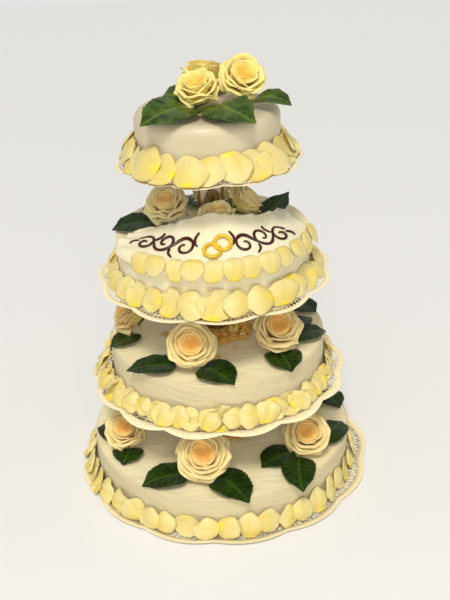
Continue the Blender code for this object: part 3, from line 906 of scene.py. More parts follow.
TIERS = (
    TierSpec(
        "bottom", cake_radius=0.1815, edge_round=0.002, roughness=1.5,
        doily_radius=0.2085, doily_shift=0.003, lobes=13, notch=22.2, lift_from=0.184, lift=0.005,
        band=0.0095, lace_row=0.0066, lace_pitch=0.0074, lace_rows=3, zigzag=0.26,
        petals=44, petal_reach=0.0135, petal_height=0.031, petal_size=0.043, crumple=1.0,
        sides=(1.6, 0.6), roses=(
            RoseSpec("a", -132.4, -60.9, 60, -20, 58, 1.0, (
                LeafSpec((-154, -44), (-170, -6), 26, 4, 2),
                LeafSpec((-124, -76), (-136, -105), 32, 4, 2))),
            RoseSpec("b", -25.9, -136.6, 70, 2, 48, 1.0, (
                LeafSpec((-56, -130), (-108, -152), 38, 6, 2),
                LeafSpec((-4, -136), (30, -195), 40, 5, 2))),
            RoseSpec("c", 113.4, -91.5, 63, 5, 55, 1.0, (
                LeafSpec((84, -96), (50, -125), 34, 4, 2),
                LeafSpec((92, -118), (100, -179), 34, 5, 2),
                LeafSpec((146, -76), (171, -30), 34, 6, 3))),
            RoseSpec("d", 133.5, 51.2, 64, 111, 50, 1.0, (
                LeafSpec((160, 40), (172, 2), 30, 4, 3),
                LeafSpec((120, 84), (106, 122), 34, 4, 2))),
            RoseSpec("e", 25.0, 140.8, 66, 170, 48, 1.0, (
                LeafSpec((58, 140), (90, 150), 36, 4, 2),
                LeafSpec((-4, 154), (-40, 168), 36, 4, 2))),
            RoseSpec("f", -112.7, 88.0, 62, -128, 50, 1.0, (
                LeafSpec((-142, 78), (-164, 56), 32, 4, 2),
                LeafSpec((-96, 114), (-88, 146), 34, 4, 2))))),
    TierSpec(
        "lower", cake_radius=0.1457, edge_round=0.002, roughness=1.0, plate_radius=0.151,
        doily_radius=0.1765, lobes=14, notch=26.1, lift_from=0.166, lift=-0.004,
        band=0.0100, lace_row=0.0060, lace_pitch=0.0066, lace_rows=3, zigzag=0.22,
        petals=54, petal_reach=0.0185, petal_height=0.026, petal_size=0.038, crumple=1.9,
        corners=0.95, sides=(1.35, 0.6), roses=(
            RoseSpec("a", -119.0, 2.0, 58, -80, 38, 1.0, (
                LeafSpec((-106, -22), (-144, -46), 27, 3, 3),)),
            RoseSpec("b", -34.7, -103.0, 66, 4, 38, 1.0, (
                LeafSpec((-64, -100), (-118, -107), 34, 5, 3),
                LeafSpec((-16, -106), (18, -150), 38, 4, 2))),
            RoseSpec("c", 78.8, -64.6, 65, 5, 55, 1.0, (
                LeafSpec((78, -80), (91, -127), 36, 4, 2),
                LeafSpec((112, -40), (147, -30), 30, 6, 3),
                LeafSpec((96, -24), (132, 6), 24, 6, 5))),
            RoseSpec("d", 92.0, 60.0, 62, 123, 50, 1.0, (
                LeafSpec((84, 90), (70, 122), 34, 4, 2),
                LeafSpec((118, 46), (140, 26), 30, 4, 2))),
            RoseSpec("e", -28.0, 106.0, 62, 195, 45, 1.0, (
                LeafSpec((-60, 104), (-98, 92), 36, 4, 2),
                LeafSpec((4, 116), (34, 132), 34, 4, 2))))),
    TierSpec(
        "upper", cake_radius=0.126, edge_round=0.002, roughness=0.5, plate_radius=0.131,
        doily_radius=0.155, lobes=11, notch=20.4, lift_from=0.140, lift=-0.003,
        band=0.0062, lace_row=0.0040, lace_pitch=0.0056, lace_rows=2, zigzag=0.1,
        petals=31, petal_reach=0.0225, petal_height=0.030, petal_size=0.047, crumple=0.7,
        corners=0.85, sides=(0.65, 0.7), blush=Blush.PALE, roses=(
            RoseSpec("a", -58.0, 12.7, 60, -15, 62, 1.0, (
                LeafSpec((-84, 6), (-130, -4), 33, 4, 3, start=0.2, roll=10),
                LeafSpec((-66, 40), (-84, 76), 30, 4, 3))),
            RoseSpec("b", 6.0, -39.5, 48, 0, 80, 1.5, (
                LeafSpec((-12, -44), (-36, -24), 20, 6, 10),)),
            RoseSpec("c", 45.7, 13.1, 50, 105, 45, 1.15, (
                LeafSpec((64, 2), (104, 50), 32, 3, 24, start=0.22),)),
            RoseSpec("d", 0.0, 48.0, 52, 180, 60, 1.0, (
                LeafSpec((-14, 74), (-30, 108), 32, 4, 3),
                LeafSpec((14, 74), (36, 104), 32, 4, 3))))),
    TierSpec(
        "top", cake_radius=0.090, edge_round=0.013, roughness=0.5, plate_radius=0.095,
        doily_radius=0.118, lobes=11, notch=8.0, lift_from=0.104, lift=-0.002,
        band=0.0058, lace_row=0.0036, lace_pitch=0.0052, lace_rows=2, zigzag=0.1,
        petals=23, petal_reach=0.0272, petal_height=0.032, petal_size=0.052, crumple=0.6,
        sides=(0.8, 0.72), icing=Icing.SMOOTH, blush=Blush.YELLOW, roses=(
            RoseSpec("a", -10.4, -15.4, 55, -20, 68, 1.12, (
                LeafSpec((-20, -40), (-76, -89), 42, 5, 4, roll=14, fresh=True),
                LeafSpec((10, -36), (34, -74), 26, 2, 1, fresh=True),
                LeafSpec((-30, -6), (-56, 14), 27, 6, 8, roll=24, fresh=True))),
            RoseSpec("b", 44.6, 5.3, 57, 20, 42, 1.0, (
                LeafSpec((-14, -38), (55, -98), 43, 6, 4, start=0.38, roll=13, fresh=True),
                LeafSpec((66, -22), (100, -43), 24, 8, 7, roll=16, fresh=True))),
            RoseSpec("c", -3.0, 43.3, 53, 170, 65, 1.15, (
                LeafSpec((-14, 60), (-36, 88), 30, 4, 3, fresh=True),
                LeafSpec((14, 60), (34, 90), 28, 4, 3, fresh=True))))),
)


# ------------------------------------------------------------------ cake bodies
@dataclass
class CakeBody:
    """One iced disc: smooth fondant on the top tier, spread icing on the others."""

    tier: TierSpec
    columns: int = 288
    unevenness: float = 0.0003
    top_roughness: float = 0.45

    def profile(self) -> Array:
        """The line from the middle of the top, over the rounded rim and down, to the middle below.

        Returns:
            Radius and height of each point.
        """
        tier, edge = self.tier, self.tier.edge_round
        inner, middle = tier.cake_radius - edge, 0.0004
        turn = np.radians(np.linspace(0.0, 90.0, 12 if tier.icing is Icing.SMOOTH else 5))
        flat = np.append(np.linspace(middle, inner - 0.0012, 28), inner - 0.0002)
        wall = np.linspace(tier.top - edge, tier.floor, 18)[1:]
        parts = [np.stack([flat, np.full(len(flat), tier.top)], -1),
                 np.stack([inner + edge * np.sin(turn), tier.top - edge + edge * np.cos(turn)], -1),
                 np.stack([np.full(len(wall), tier.cake_radius), wall], -1),
                 np.array([[tier.cake_radius * 0.5, tier.floor], [middle, tier.floor]])]
        return np.concatenate(parts)

    def build(self, finishes: Finishes) -> None:
        """Turn the profile once round the axis and let the knife wander over it.

        The wall stands out by the spread times waves; the top sways by it, and a low ridge
        runs round where the knife left the rim. The flow lies straight over the top and slants
        round the wall.

        Args:
            finishes: the materials.
        """
        tier, rng = self.tier, np.random.default_rng(len(self.tier.name))
        profile = self.profile()
        bearing = ring(self.columns)
        radius, height = profile[:, :1], profile[:, 1:]
        rolled = tier.icing is Icing.SMOOTH
        spread = self.unevenness * (0.5 if rolled else 1.0)
        inner = tier.cake_radius - tier.edge_round
        on_top = radius < inner - 1e-6
        wander = waves(bearing / 360.0 + height * 6.0, rng, 3, 22) * spread
        out = smooth(radius, inner - 0.001, tier.cake_radius)
        ridge = np.exp(-((radius - inner + 0.001) / 0.002) ** 2) * (height > tier.top - 0.003)
        ridge = ridge * (0.0003 + 0.0003 * waves(bearing / 360.0, rng, 9, 40)) * (0.0 if rolled else 1.0)
        sway = waves(bearing / 360.0 + radius * 4.0, rng, 2, 9) * spread * 0.6 - spread
        lift = np.where(height > tier.floor + 1e-4, ridge + (1.0 - out) * sway, 0.0)
        grid = polar(np.maximum(radius + out * (wander - spread), 0.0), bearing, height + lift)
        flat = stacked(grid[..., 0] * 0.25, grid[..., 1], 0.0)
        side = polar(tier.cake_radius * 0.35, bearing + height * 900.0, height)
        # the tier's roughness also sets the painted shade on the walls in the icing material
        depth = np.where(on_top, self.top_roughness, tier.roughness)
        buffer = MeshBuffer()
        buffer.closed(grid, np.stack([depth] * 4, -1), np.where(on_top[..., None], flat, side))
        piece = buffer.build("iced_cake_" + tier.name, finishes.fondant if rolled else finishes.icing)
        place(piece, "fondant" if rolled else "icing", "cake_" + tier.name)


# ----------------------------------------------------------------------- doilies
@dataclass
class Doily:
    """A scalloped paper doily: a plain band, rows of cut lace and a plain middle."""

    tier: TierSpec
    lobe_depth: float = 0.0068
    bar: float = 0.0012
    thickness: float = 0.0005
    teeth_pitch: float = 0.0021
    teeth_depth: float = 0.0005

    def outline(self, bearing: Array) -> Array:
        """Edge radius: the full radius less the lobe depth times 1 - |sin(n b / 2)|."""
        turn = np.radians(bearing - self.tier.notch) * self.tier.lobes / 2.0
        return self.tier.doily_radius - self.lobe_depth * (1.0 - np.abs(np.sin(turn)))

    def height(self, radius: Array, bearing: Array) -> Array:
        """The sheet lies flat and its outer band climbs or droops, with a slight wave.

        Args:
            radius: distances from the axis.
            bearing: bearings, in degrees.
        Returns:
            The height at each place.
        """
        tier = self.tier
        out = np.maximum(0.0, radius - tier.lift_from) / (tier.doily_radius - tier.lift_from)
        wave = 0.0007 * np.sin(np.radians(bearing) * 5.0 + 1.0) * out
        return mix(*tier.doily, 0.5) + tier.lift * out + (wave if tier.lift else 0.0)

    def grid(self, bearing: Array, inward: Array) -> Array:
        """Points a given distance in from the scalloped edge; the scallops fade further in.

        Args:
            bearing: bearings, in degrees.
            inward: distances in from the edge.
        Returns:
            The points.
        """
        edge = self.outline(bearing)
        depth = smooth(inward, 0.018, 0.03)
        radius = mix(edge, self.tier.doily_radius - self.lobe_depth * 0.35, depth) - inward
        grid = polar(radius, bearing, self.height(radius, bearing))
        grid[..., 0] += self.tier.doily_shift * (1.0 - depth)
        return grid

    def add_band(self, buffer: MeshBuffer) -> None:
        """The plain band, with a toothed edge: every second point stands in by the teeth's depth.

        Args:
            buffer: the doily's mesh.
        """
        tier = self.tier
        count = 2 * round(math.pi * tier.doily_radius / self.teeth_pitch * 2.0)
        bearing = ring(count)
        teeth = np.where(np.arange(count) % 2 == 0, self.teeth_depth, 0.0)[None, :]
        steps = np.array([0.0, 0.0006, 0.0028, tier.band])[:, None]
        inward = steps + teeth * np.array([1.0, 0.0, 0.0, 0.0])[:, None]
        buffer.sheet(self.grid(bearing, inward), wrap=True, flip=True)

    def add_lace(self, buffer: MeshBuffer) -> None:
        """The rows of slots and the plain middle.

        Each cell of a row has a thin rib and a slot. The slots' two ends are moved by the
        zigzag, one way and then the other, so that the ribs lean.

        Args:
            buffer: the doily's mesh.
        """
        tier = self.tier
        holes = round(2.0 * math.pi * (tier.doily_radius - 0.01) / tier.lace_pitch)
        cell = 360.0 / holes
        share = np.array([0.0, 0.095, 0.5, 0.905])
        bearing = (np.arange(holes)[:, None] * cell + share * cell).ravel()
        slant = (np.array([0.0, 1.0, 0.0, -1.0]) * cell)[None, :].repeat(holes, 0).ravel()
        level = tier.band
        inward, shifts, slots = [level - 1e-5], [0.0], []
        for row in range(tier.lace_rows):
            lean = tier.zigzag * (1.0 if row % 2 else -1.0)
            inward += [level, level + tier.lace_row]
            shifts += [lean, -lean]
            slots.append(2 * row + 1)
            level += tier.lace_row + self.bar
        hub = tier.doily_radius - self.lobe_depth * 0.35 - 0.0004
        inward = np.array(inward + [level, 0.036, tier.doily_radius * 0.6, hub])[:, None]
        shifts = np.array(shifts + [0.0] * 4)[:, None]
        swing = np.arange(len(bearing)) // 4 % 2 * 2 - 1
        grid = self.grid(bearing[None, :] + shifts * slant[None, :] * swing, inward)
        keep = np.ones((len(inward) - 1, len(bearing)), bool)
        keep[slots] = np.tile([True, False, False, True], holes)
        buffer.sheet(grid, wrap=True, keep=keep, flip=True)
        buffer.add_faces(buffer.count - len(bearing) + np.arange(len(bearing))[None, ::-1])

    def build(self, finishes: Finishes) -> None:
        """Make the band, the lace and the middle, then give the paper its thickness.

        Args:
            finishes: the materials.
        """
        buffer = MeshBuffer()
        self.add_band(buffer)
        self.add_lace(buffer)
        piece = buffer.build("paper_doily_" + self.tier.name, finishes.paper)
        solid = piece.modifiers.new("paper", "SOLIDIFY")
        solid.thickness = self.thickness
        solid.offset = 0.0
        place(piece, "doily", "doily_" + self.tier.name)


# ------------------------------------------------------------------ loose petals
@dataclass
class LoosePetal:
    """One plucked petal: narrow at its foot, broad and round at its top, cupped."""

    length: float
    width: float
    cup: float
    curl: float
    crumple: float
    rng: np.random.Generator

    def surface(self, rows: int = 15, columns: int = 15) -> tuple[Array, Array]:
        """Half width grows as a sine to v = 0.62 and rounds off; the belly is cup (1 - |u|^2.2) sin(pi v).

        Each petal has its own skew, notch, wavy rim, turned-out edges and one long crease.

        Args:
            rows: points from foot to top.
            columns: points across.
        Returns:
            Points (x across, y along from 0 to the length, z outward) and tones.
        """
        rng = self.rng
        v, u = parameters(rows, columns)
        grow = 0.36 + 0.64 * np.sin(math.pi / 2.0 * np.clip(v / 0.62, 0.0, 1.0)) ** 0.85
        ease = np.sqrt(1.0 - 0.66 * np.clip((v - 0.45) / 0.55, 0.0, 1.0) ** 3.0)
        skew = rng.uniform(-0.10, 0.10)
        across = u * self.width / 2.0 * grow * ease + skew * self.width * v * v
        notch = 0.03 * rng.random() * np.exp(-(u / 0.3) ** 2)
        rim = 0.022 * waves(u * 0.5 + 0.5, rng, 1, 5)
        along = self.length * (v - 0.24 * v ** 2 * np.abs(u) ** 2.6 + (rim - notch) * v ** 3)
        belly = self.cup * (1.0 - np.abs(u) ** 2.2) * np.sin(math.pi * np.clip(v * 0.9 + 0.08, 0.0, 1.0))
        side = rng.uniform(0.4, 1.0) * (u > 0.0) + rng.uniform(0.4, 1.0) * (u <= 0.0)
        turned = self.curl * (side * np.abs(u) ** 3 * v + 0.9 * smooth(v, 0.70, 1.05) ** 2)
        fold = rng.uniform(-0.5, 0.5)
        crease = np.exp(-((u - fold - 0.4 * (v - 0.5)) / 0.16) ** 2) * np.sin(math.pi * v)
        wavy = waves(u * 0.35 + v * 0.45, rng, 1, 3) * np.abs(u) ** 0.8 + 0.5 * waves(v * 0.6, rng, 1, 3)
        tip = rng.uniform(-0.10, 0.14) * self.length * (v - 0.5)
        out = belly + turned + self.crumple * (0.0019 * wavy * v - 0.0024 * crease + tip)
        points = stacked(across, along, out)
        # painted shade along the crease, stronger on more crumpled petals, carried in the fourth tone
        shade = crease * min(1.0, 0.25 + self.crumple * 0.4)
        return points, stacked(u * 0.5 + 0.5, v, rng.random(), shade)


@dataclass
class PetalRow:
    """Petals leaning side by side on a cake's wall, feet on the doily."""

    tier: TierSpec
    thickness: float = 0.00035
    wall_gap: float = 0.0012
    swing: float = 0.16
    turn_odds: tuple[float, ...] = (0.36, 0.2, 0.22, 0.22)

    def lay(self, points: Array, bearing: float, reach: float, height: float, swing: float) -> Array:
        """Carry a flat petal onto the slope from the doily up to the wall, bent round the cake.

        Args:
            points: the petal about its middle: across, up the slope, outward.
            bearing: where it stands.
            reach: how far out from the wall the slope starts.
            height: how high on the wall the slope ends.
            swing: how much one side stands off more than the other.
        Returns:
            The points in place, spread out on the doily where the slope would pass through it.
        """
        tier = self.tier
        slope = math.atan2(reach, height)
        rise = points[..., 1] / math.hypot(reach, height) + 0.5
        floor = tier.doily[1] + 0.0006
        out = reach * (1.0 - rise) + points[..., 2] * math.cos(slope) + points[..., 0] * swing
        up = height * rise + points[..., 2] * math.sin(slope)
        least = tier.cake_radius + self.wall_gap
        radius = np.maximum(least + out, least) + 0.75 * np.maximum(0.0, -up)
        radius = np.minimum(radius, tier.doily_radius + 0.0005)
        step = np.clip((radius - tier.lift_from) / (tier.doily_radius - tier.lift_from), 0.0, 1.0)
        level = floor + np.maximum(up, 0.0)
        level = np.maximum(level, floor + tier.lift * step + 0.0004 * points[..., 2] / 0.003)
        turn = bearing + np.degrees(points[..., 0] / (tier.cake_radius + reach * 0.5))
        return polar(radius, turn, level)

    def build(self, finishes: Finishes) -> None:
        """Shingle the petals round the cake, each with its own size, turn and cup.

        Args:
            finishes: the materials.
        """
        tier, rng = self.tier, np.random.default_rng(40 + len(self.tier.name))
        buffer, swing = MeshBuffer(), self.swing
        ways = [way.value for way in PetalTurn]
        for index in range(tier.petals):
            bearing = (index + rng.uniform(-0.16, 0.16)) * 360.0 / tier.petals
            lean = math.sin(math.radians(bearing))
            share = float(np.interp(abs(lean), (0.0, 0.7, 1.0), (1.0, tier.corners, tier.sides[lean > 0.0])))
            reach = tier.petal_reach * rng.uniform(0.84, 1.0) * share
            height = tier.petal_height * rng.uniform(0.84, 1.04) * min(1.0, 0.55 + 0.45 * share)
            length = math.hypot(reach, height) * rng.uniform(1.0, 1.1)
            cup = rng.uniform(0.002, 0.0075) * (1.0 if rng.random() < 0.75 else -0.6)
            width, curl = tier.petal_size * rng.uniform(0.72, 1.14), rng.uniform(-0.002, 0.0035)
            crumple = tier.crumple * rng.uniform(0.5, 1.3) * (1.0 + 0.7 * max(0.0, -lean))
            points, tone = LoosePetal(length, width, cup, curl, crumple, rng).surface()
            way = PetalTurn(float(rng.choice(ways, p=self.turn_odds)))
            spin = math.radians(way.value + rng.uniform(-24.0, 24.0))
            aside = way in (PetalTurn.FOOT_LEFT, PetalTurn.FOOT_RIGHT)
            squeeze = min(1.0, length * 1.08 / width) if aside else 1.0
            across, along = points[..., 0], points[..., 1] - length * 0.52
            aside_x = across * math.cos(spin) - along * math.sin(spin)
            aside_y = (across * math.sin(spin) + along * math.cos(spin)) * squeeze
            flat = np.stack([aside_x, aside_y, points[..., 2]], -1)
            swing = -swing if rng.random() < 0.22 else swing
            placed = self.lay(flat, bearing, reach, height, swing * rng.uniform(0.7, 1.3))
            buffer.shell(placed, self.thickness, tone)
        place(buffer.build("petal_row_" + tier.name, finishes.petal), "petal", "petals_" + tier.name)


# ------------------------------------------------------------------------- roses
@dataclass(frozen=True)
class PetalLayer:
    """One ring of a rose's petals: sizes in parts of the rose's radius, turns in degrees.

    Spread is half the angle a petal covers, flare is how far its face leans out from upright
    and reach is the length of that face.
    """

    count: int
    rim: float
    height: float
    spread: float
    flare: float
    reach: float
    ragged: float


ROSE_LAYERS = (
    PetalLayer(2, 0.045, 0.345, 130.0, -4.0, 0.16, 0.8),
    PetalLayer(3, 0.105, 0.37, 100.0, 4.0, 0.17, 1.0),
    PetalLayer(3, 0.175, 0.40, 92.0, 12.0, 0.18, 1.4),
    PetalLayer(3, 0.25, 0.425, 88.0, 20.0, 0.19, 1.7),
    PetalLayer(4, 0.335, 0.45, 80.0, 30.0, 0.20, 1.9),
    PetalLayer(4, 0.44, 0.465, 78.0, 42.0, 0.22, 2.1),
    PetalLayer(4, 0.58, 0.455, 76.0, 56.0, 0.27, 2.5),
    PetalLayer(4, 0.76, 0.39, 74.0, 72.0, 0.32, 3.1),
    PetalLayer(5, 0.92, 0.24, 60.0, 86.0, 0.36, 3.7),
    PetalLayer(4, 0.95, 0.0, 58.0, 106.0, 0.34, 4.2),
)


@dataclass
class Bloom:
    """A rose head built ring by ring from the heart out."""

    tier: TierSpec
    spec: RoseSpec
    seed: int
    thickness: float = 0.00045
    petal_grid: tuple[int, int] = (18, 19)
    core_depth: float = 0.072
    core_sides: int = 24
    sepals: int = 5

    def petal(self, layer: PetalLayer, order: float, turn: float,
              rng: np.random.Generator) -> tuple[Array, Array]:
        """A cubic curve carries the petal from the stem out over its belly and up its face to the rim.

        The face leaves the rim at the flare; one side of each petal stands a little further out
        than the other, so that the ring winds, and the very edge curls over.

        Args:
            layer: the ring it is in.
            order: the ring's place, from 0 at the heart to 1 outside.
            turn: the petal's bearing on the rose, in degrees.
            rng: source of its small differences.
        Returns:
            Points in the rose's own frame, in parts of its radius, and tones.
        """
        v, u = parameters(*self.petal_grid)
        v = v ** 0.85
        place_on, edge = u * 0.5 + 0.5, np.abs(u)
        rim = layer.rim * rng.uniform(0.95 - 0.06 * order, 1.07) + (0.032 + 0.022 * order) * u
        rim = rim + 0.010 * layer.ragged * waves(place_on * 0.8, rng, 1, 5)
        rim = rim + 0.018 * layer.ragged * np.exp(-((u - rng.uniform(-0.5, 0.5)) / 0.22) ** 2)
        crest = layer.height + rng.uniform(-0.014, 0.014) * layer.ragged - (0.13 + 0.26 * order) * edge ** 2.8
        crest = crest + 0.009 * layer.ragged * waves(place_on * 0.8, rng, 1, 5)
        lean = layer.flare + rng.uniform(-5.0, 7.0) + 5.0 * layer.ragged * waves(place_on * 0.7, rng, 1, 3)
        flare = np.radians(lean)
        neck, neck_height = rim - layer.reach * np.sin(flare), crest - layer.reach * np.cos(flare)
        belly = 0.22 + 0.50 * order
        foot = 0.06 + 0.04 * order
        a, b, c, d = (1.0 - v) ** 3, 3.0 * (1.0 - v) ** 2 * v, 3.0 * (1.0 - v) * v ** 2, v ** 3
        radius = a * foot + b * belly + c * neck + d * rim
        height = a * -0.68 + b * mix(-0.50, -0.48, order) + c * neck_height + d * crest
        lip = np.clip((v - 0.88) / 0.12, 0.0, 1.0)
        over = lip * math.radians(rng.uniform(30.0, 150.0)) + flare * 0.6
        curl = (0.012 + 0.020 * order) * lip
        radius = np.maximum(radius + curl * np.sin(over), 0.006)
        height = height + curl * np.cos(over)
        width = 0.50 + 0.50 * np.sin(math.pi / 2.0 * np.clip(v / 0.6, 0.0, 1.0))
        narrow = 1.0 - 0.14 * np.clip((v - 0.7) / 0.3, 0.0, 1.0) ** 2
        around = np.radians(turn + layer.spread * u * width * narrow)
        points = stacked(radius * np.sin(around), -radius * np.cos(around), height)
        return points, stacked(place_on, v, order, rng.random())

    def turn_matrix(self) -> Array:
        """Turn about X by 90 degrees less the elevation, then about Z by the bearing."""
        tilt = Matrix.Rotation(math.radians(90.0 - self.spec.elevation), 3, "X")
        return np.array(Matrix.Rotation(math.radians(self.spec.bearing), 3, "Z") @ tilt)

    def build(self, finishes: Finishes) -> None:
        """Gather every petal, turn the rose to face its way and set it down on its leaves.

        Args:
            finishes: the materials.
        """
        spec, rng = self.spec, np.random.default_rng(self.seed)
        half = spec.size / 2000.0
        stretch = np.array([1.0, 1.0, spec.tall]) * half
        matrix = self.turn_matrix()
        petals, last = [], len(ROSE_LAYERS) - 1
        for place_in, layer in enumerate(ROSE_LAYERS):
            offset = rng.uniform(0.0, 360.0)
            for index in range(layer.count):
                turn = offset + 360.0 * index / layer.count + rng.uniform(-7.0, 7.0)
                points, tone = self.petal(layer, place_in / last, turn, rng)
                petals.append(((points * stretch) @ matrix.T, tone))
        lowest = min(points[..., 2].min() for points, tone in petals)
        node = f"rose_{self.tier.name}_{spec.tag}"
        middle = np.array([spec.x / 1000.0, spec.y / 1000.0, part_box(node)[0].z - lowest])
        buffer = MeshBuffer()
        for points, tone in petals:
            buffer.shell(points + middle, self.thickness, tone)
        self.add_core(buffer, middle, matrix, stretch)
        piece = buffer.build(f"bloom_{self.tier.name}_{spec.tag}", finishes.bloom(self.tier.blush))
        place(piece, "rose", node)
        self.build_calyx(finishes, middle, matrix, stretch, rng)

    def add_core(self, buffer: MeshBuffer, middle: Array, matrix: Array, stretch: Array) -> None:
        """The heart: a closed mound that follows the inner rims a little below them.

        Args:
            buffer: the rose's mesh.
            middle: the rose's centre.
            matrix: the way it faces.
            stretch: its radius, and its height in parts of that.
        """
        rims = [layer.rim for layer in ROSE_LAYERS]
        crests = [layer.height for layer in ROSE_LAYERS]
        radius = np.array([0.0004, 0.06, 0.14, 0.22, 0.30, 0.38, 0.45, 0.49, 0.47, 0.40, 0.0004])[:, None]
        height = np.interp(radius, rims, crests) - self.core_depth - 0.5 * radius ** 4
        height[-4:] = np.array([0.27, 0.14, -0.20, -0.20])[:, None]
        grid = polar(radius, ring(self.core_sides), height)
        tone = stacked(0.5, 0.3, np.clip(radius * 1.7, 0.0, 0.85), 0.5)
        buffer.closed((grid * stretch) @ matrix.T + middle, tone)

    def build_calyx(self, finishes: Finishes, middle: Array, matrix: Array, stretch: Array,
                    rng: np.random.Generator) -> None:
        """Pointed sepals and a short cut stem behind the petals.

        A sepal's half width is 0.1 (1 - v)^0.7 (1 + 0.4 sin(pi v)) of the rose's radius.

        Args:
            finishes: the materials.
            middle: the rose's centre.
            matrix: the way it faces.
            stretch: its radius, and its height in parts of that.
            rng: source of the sepals' small differences.
        """
        buffer = MeshBuffer()
        v, u = parameters(9, 5)
        for index in range(self.sepals):
            turn = 360.0 / self.sepals * index + rng.uniform(-12.0, 12.0)
            radius = 0.06 + (0.40 + 0.12 * rng.random()) * v ** 0.8
            height = -0.74 + 0.30 * v - 0.22 * rng.random() * v ** 2
            half = 0.10 * (1.0 - v) ** 0.7 * (1.0 + 0.4 * np.sin(math.pi * v)) + 0.004
            angle = math.radians(turn)
            points = stacked(radius * math.sin(angle) + u * half * math.cos(angle),
                             -radius * math.cos(angle) + u * half * math.sin(angle), height - 0.04 * u ** 2)
            tone = stacked(u * 0.5 + 0.5, v, rng.random(), np.exp(-(u / 0.2) ** 2))
            buffer.shell((points * stretch) @ matrix.T + middle, 0.0005, tone)
        path = np.array([[0.0, 0.0, -0.60], [0.0, 0.0, -0.70], [0.0, 0.0, -0.76], [0.0, 0.0, -0.80]])
        rounded = np.array([0.16, 0.15, 0.10, 0.075]) * stretch[0]
        buffer.tube((path * stretch) @ matrix.T + middle, rounded, 10, np.array([0.5, 0.5, 0.5, 0.0]))
        name = f"{self.tier.name}_{self.spec.tag}"
        place(buffer.build("calyx_" + name, finishes.calyx), "leaf", "rose_" + name)


# ------------------------------------------------------------------------ leaves
@dataclass
class Spray:
    """The leaves under one rose, with their stems."""

    tier: TierSpec
    spec: RoseSpec
    seed: int
    thickness: float = 0.0005
    breadth: float = 1.38
    teeth: int = 13
    veins: int = 7

    def centreline(self, leaf: LeafSpec, share: Array) -> Array:
        """Quadratic Bezier curve from the hub through the bend to the tip, with a low arch.

        Args:
            leaf: the leaf's path.
            share: places along it, from 0 to 1.
        Returns:
            The points.
        """
        base = np.array([self.spec.x, self.spec.y, 0.0]) / 1000.0
        bend = np.array([*leaf.bend, 0.0]) / 1000.0
        tip = np.array([*leaf.tip, 0.0]) / 1000.0
        share = share[..., None]
        line = (1.0 - share) ** 2 * base + 2.0 * share * (1.0 - share) * bend + share ** 2 * tip
        along = share[..., 0]
        climb = np.sin(math.pi * np.clip(along, 0.0, 1.0) ** 1.3) * leaf.rise + leaf.tip_rise * along ** 3
        line[..., 2] = self.tier.top + 0.0016 + climb / 1000.0
        return line

    def blade(self, leaf: LeafSpec, rng: np.random.Generator) -> tuple[Array, Array]:
        """Half width s^0.46 (1 - s)^0.62, toothed, folded along the midrib and quilted between side veins.

        Args:
            leaf: the leaf's path and size.
            rng: source of its small differences.
        Returns:
            Points and tones on a grid from foot to tip and from side to side.
        """
        rows, columns = 66, 17
        s = np.linspace(0.0, 1.0, rows)
        u = np.linspace(-1.0, 1.0, columns)[None, :]
        line = self.centreline(leaf, mix(leaf.start, 1.0, s))
        along = unit(np.gradient(line, axis=0))
        flat = unit(np.stack([along[:, 1], -along[:, 0], np.zeros(rows)], -1))
        over = upward(np.cross(flat, along))
        roll = math.radians(leaf.roll) * float(np.sign(flat[rows // 2, 1]))
        side = flat * math.cos(roll) + over * math.sin(roll)
        normal = over * math.cos(roll) - flat * math.sin(roll)
        shape = s ** 0.46 * (1.0 - s) ** 0.62 * (1.0 - 0.55 * smooth(s, 0.78, 1.0))
        shape = shape / shape.max()
        tooth = 1.0 - 0.085 * (s * self.teeth % 1.0)[:, None] * smooth(np.abs(u), 0.55, 1.0)
        half = leaf.width / 2000.0 * self.breadth * shape[:, None]
        across = u * half * tooth
        rib = s[:, None] * self.veins - np.abs(u) * 1.25
        quilt = np.abs(np.sin(math.pi * rib)) ** 0.6
        fold = 0.16 * np.abs(u) * half * (1.0 - 0.4 * np.abs(u))
        relief = 0.0005 * (quilt - 0.6) * smooth(np.abs(u), 0.02, 0.3) * (shape[:, None] ** 0.5)
        wavy = 0.0011 * np.abs(u) ** 2 * waves(s[:, None] + 0.25 * np.sign(u), rng, 1, 4) * shape[:, None]
        tipped = -0.0016 * smooth(s, 0.8, 1.0)[:, None] + abs(math.sin(roll)) * half * 0.8
        points = (line[:, None] + side[:, None] * across[..., None]
                  + normal[:, None] * (fold + relief + wavy + tipped)[..., None])
        radius = np.hypot(points[..., 0], points[..., 1])
        points[..., 2] = np.maximum(points[..., 2], self.tier.surface(radius) + 0.0005)
        near = np.maximum(np.exp(-(u * half / 0.0006) ** 2), 0.6 * (1.0 - quilt) ** 3)
        tone = stacked(u * 0.5 + 0.5, s[:, None], rng.random(), near)
        return points, tone

    def build(self, finishes: Finishes) -> None:
        """Lay each leaf and its stem on the icing.

        Args:
            finishes: the materials.
        """
        rng, buffer = np.random.default_rng(self.seed), MeshBuffer()
        for leaf in self.spec.leaves:
            points, tone = self.blade(leaf, rng)
            buffer.shell(points, self.thickness, tone)
            stem = self.centreline(leaf, np.linspace(0.04, leaf.start + 0.06, 8))
            buffer.tube(stem, 0.0008, 8, np.array([0.5, 0.3, 0.5, 0.6]))
        fresh = any(leaf.fresh for leaf in self.spec.leaves)
        name = f"{self.tier.name}_{self.spec.tag}"
        piece = buffer.build("leaf_spray_" + name, finishes.leaf_fresh if fresh else finishes.leaf)
        place(piece, "leaf", "leaves_" + name)


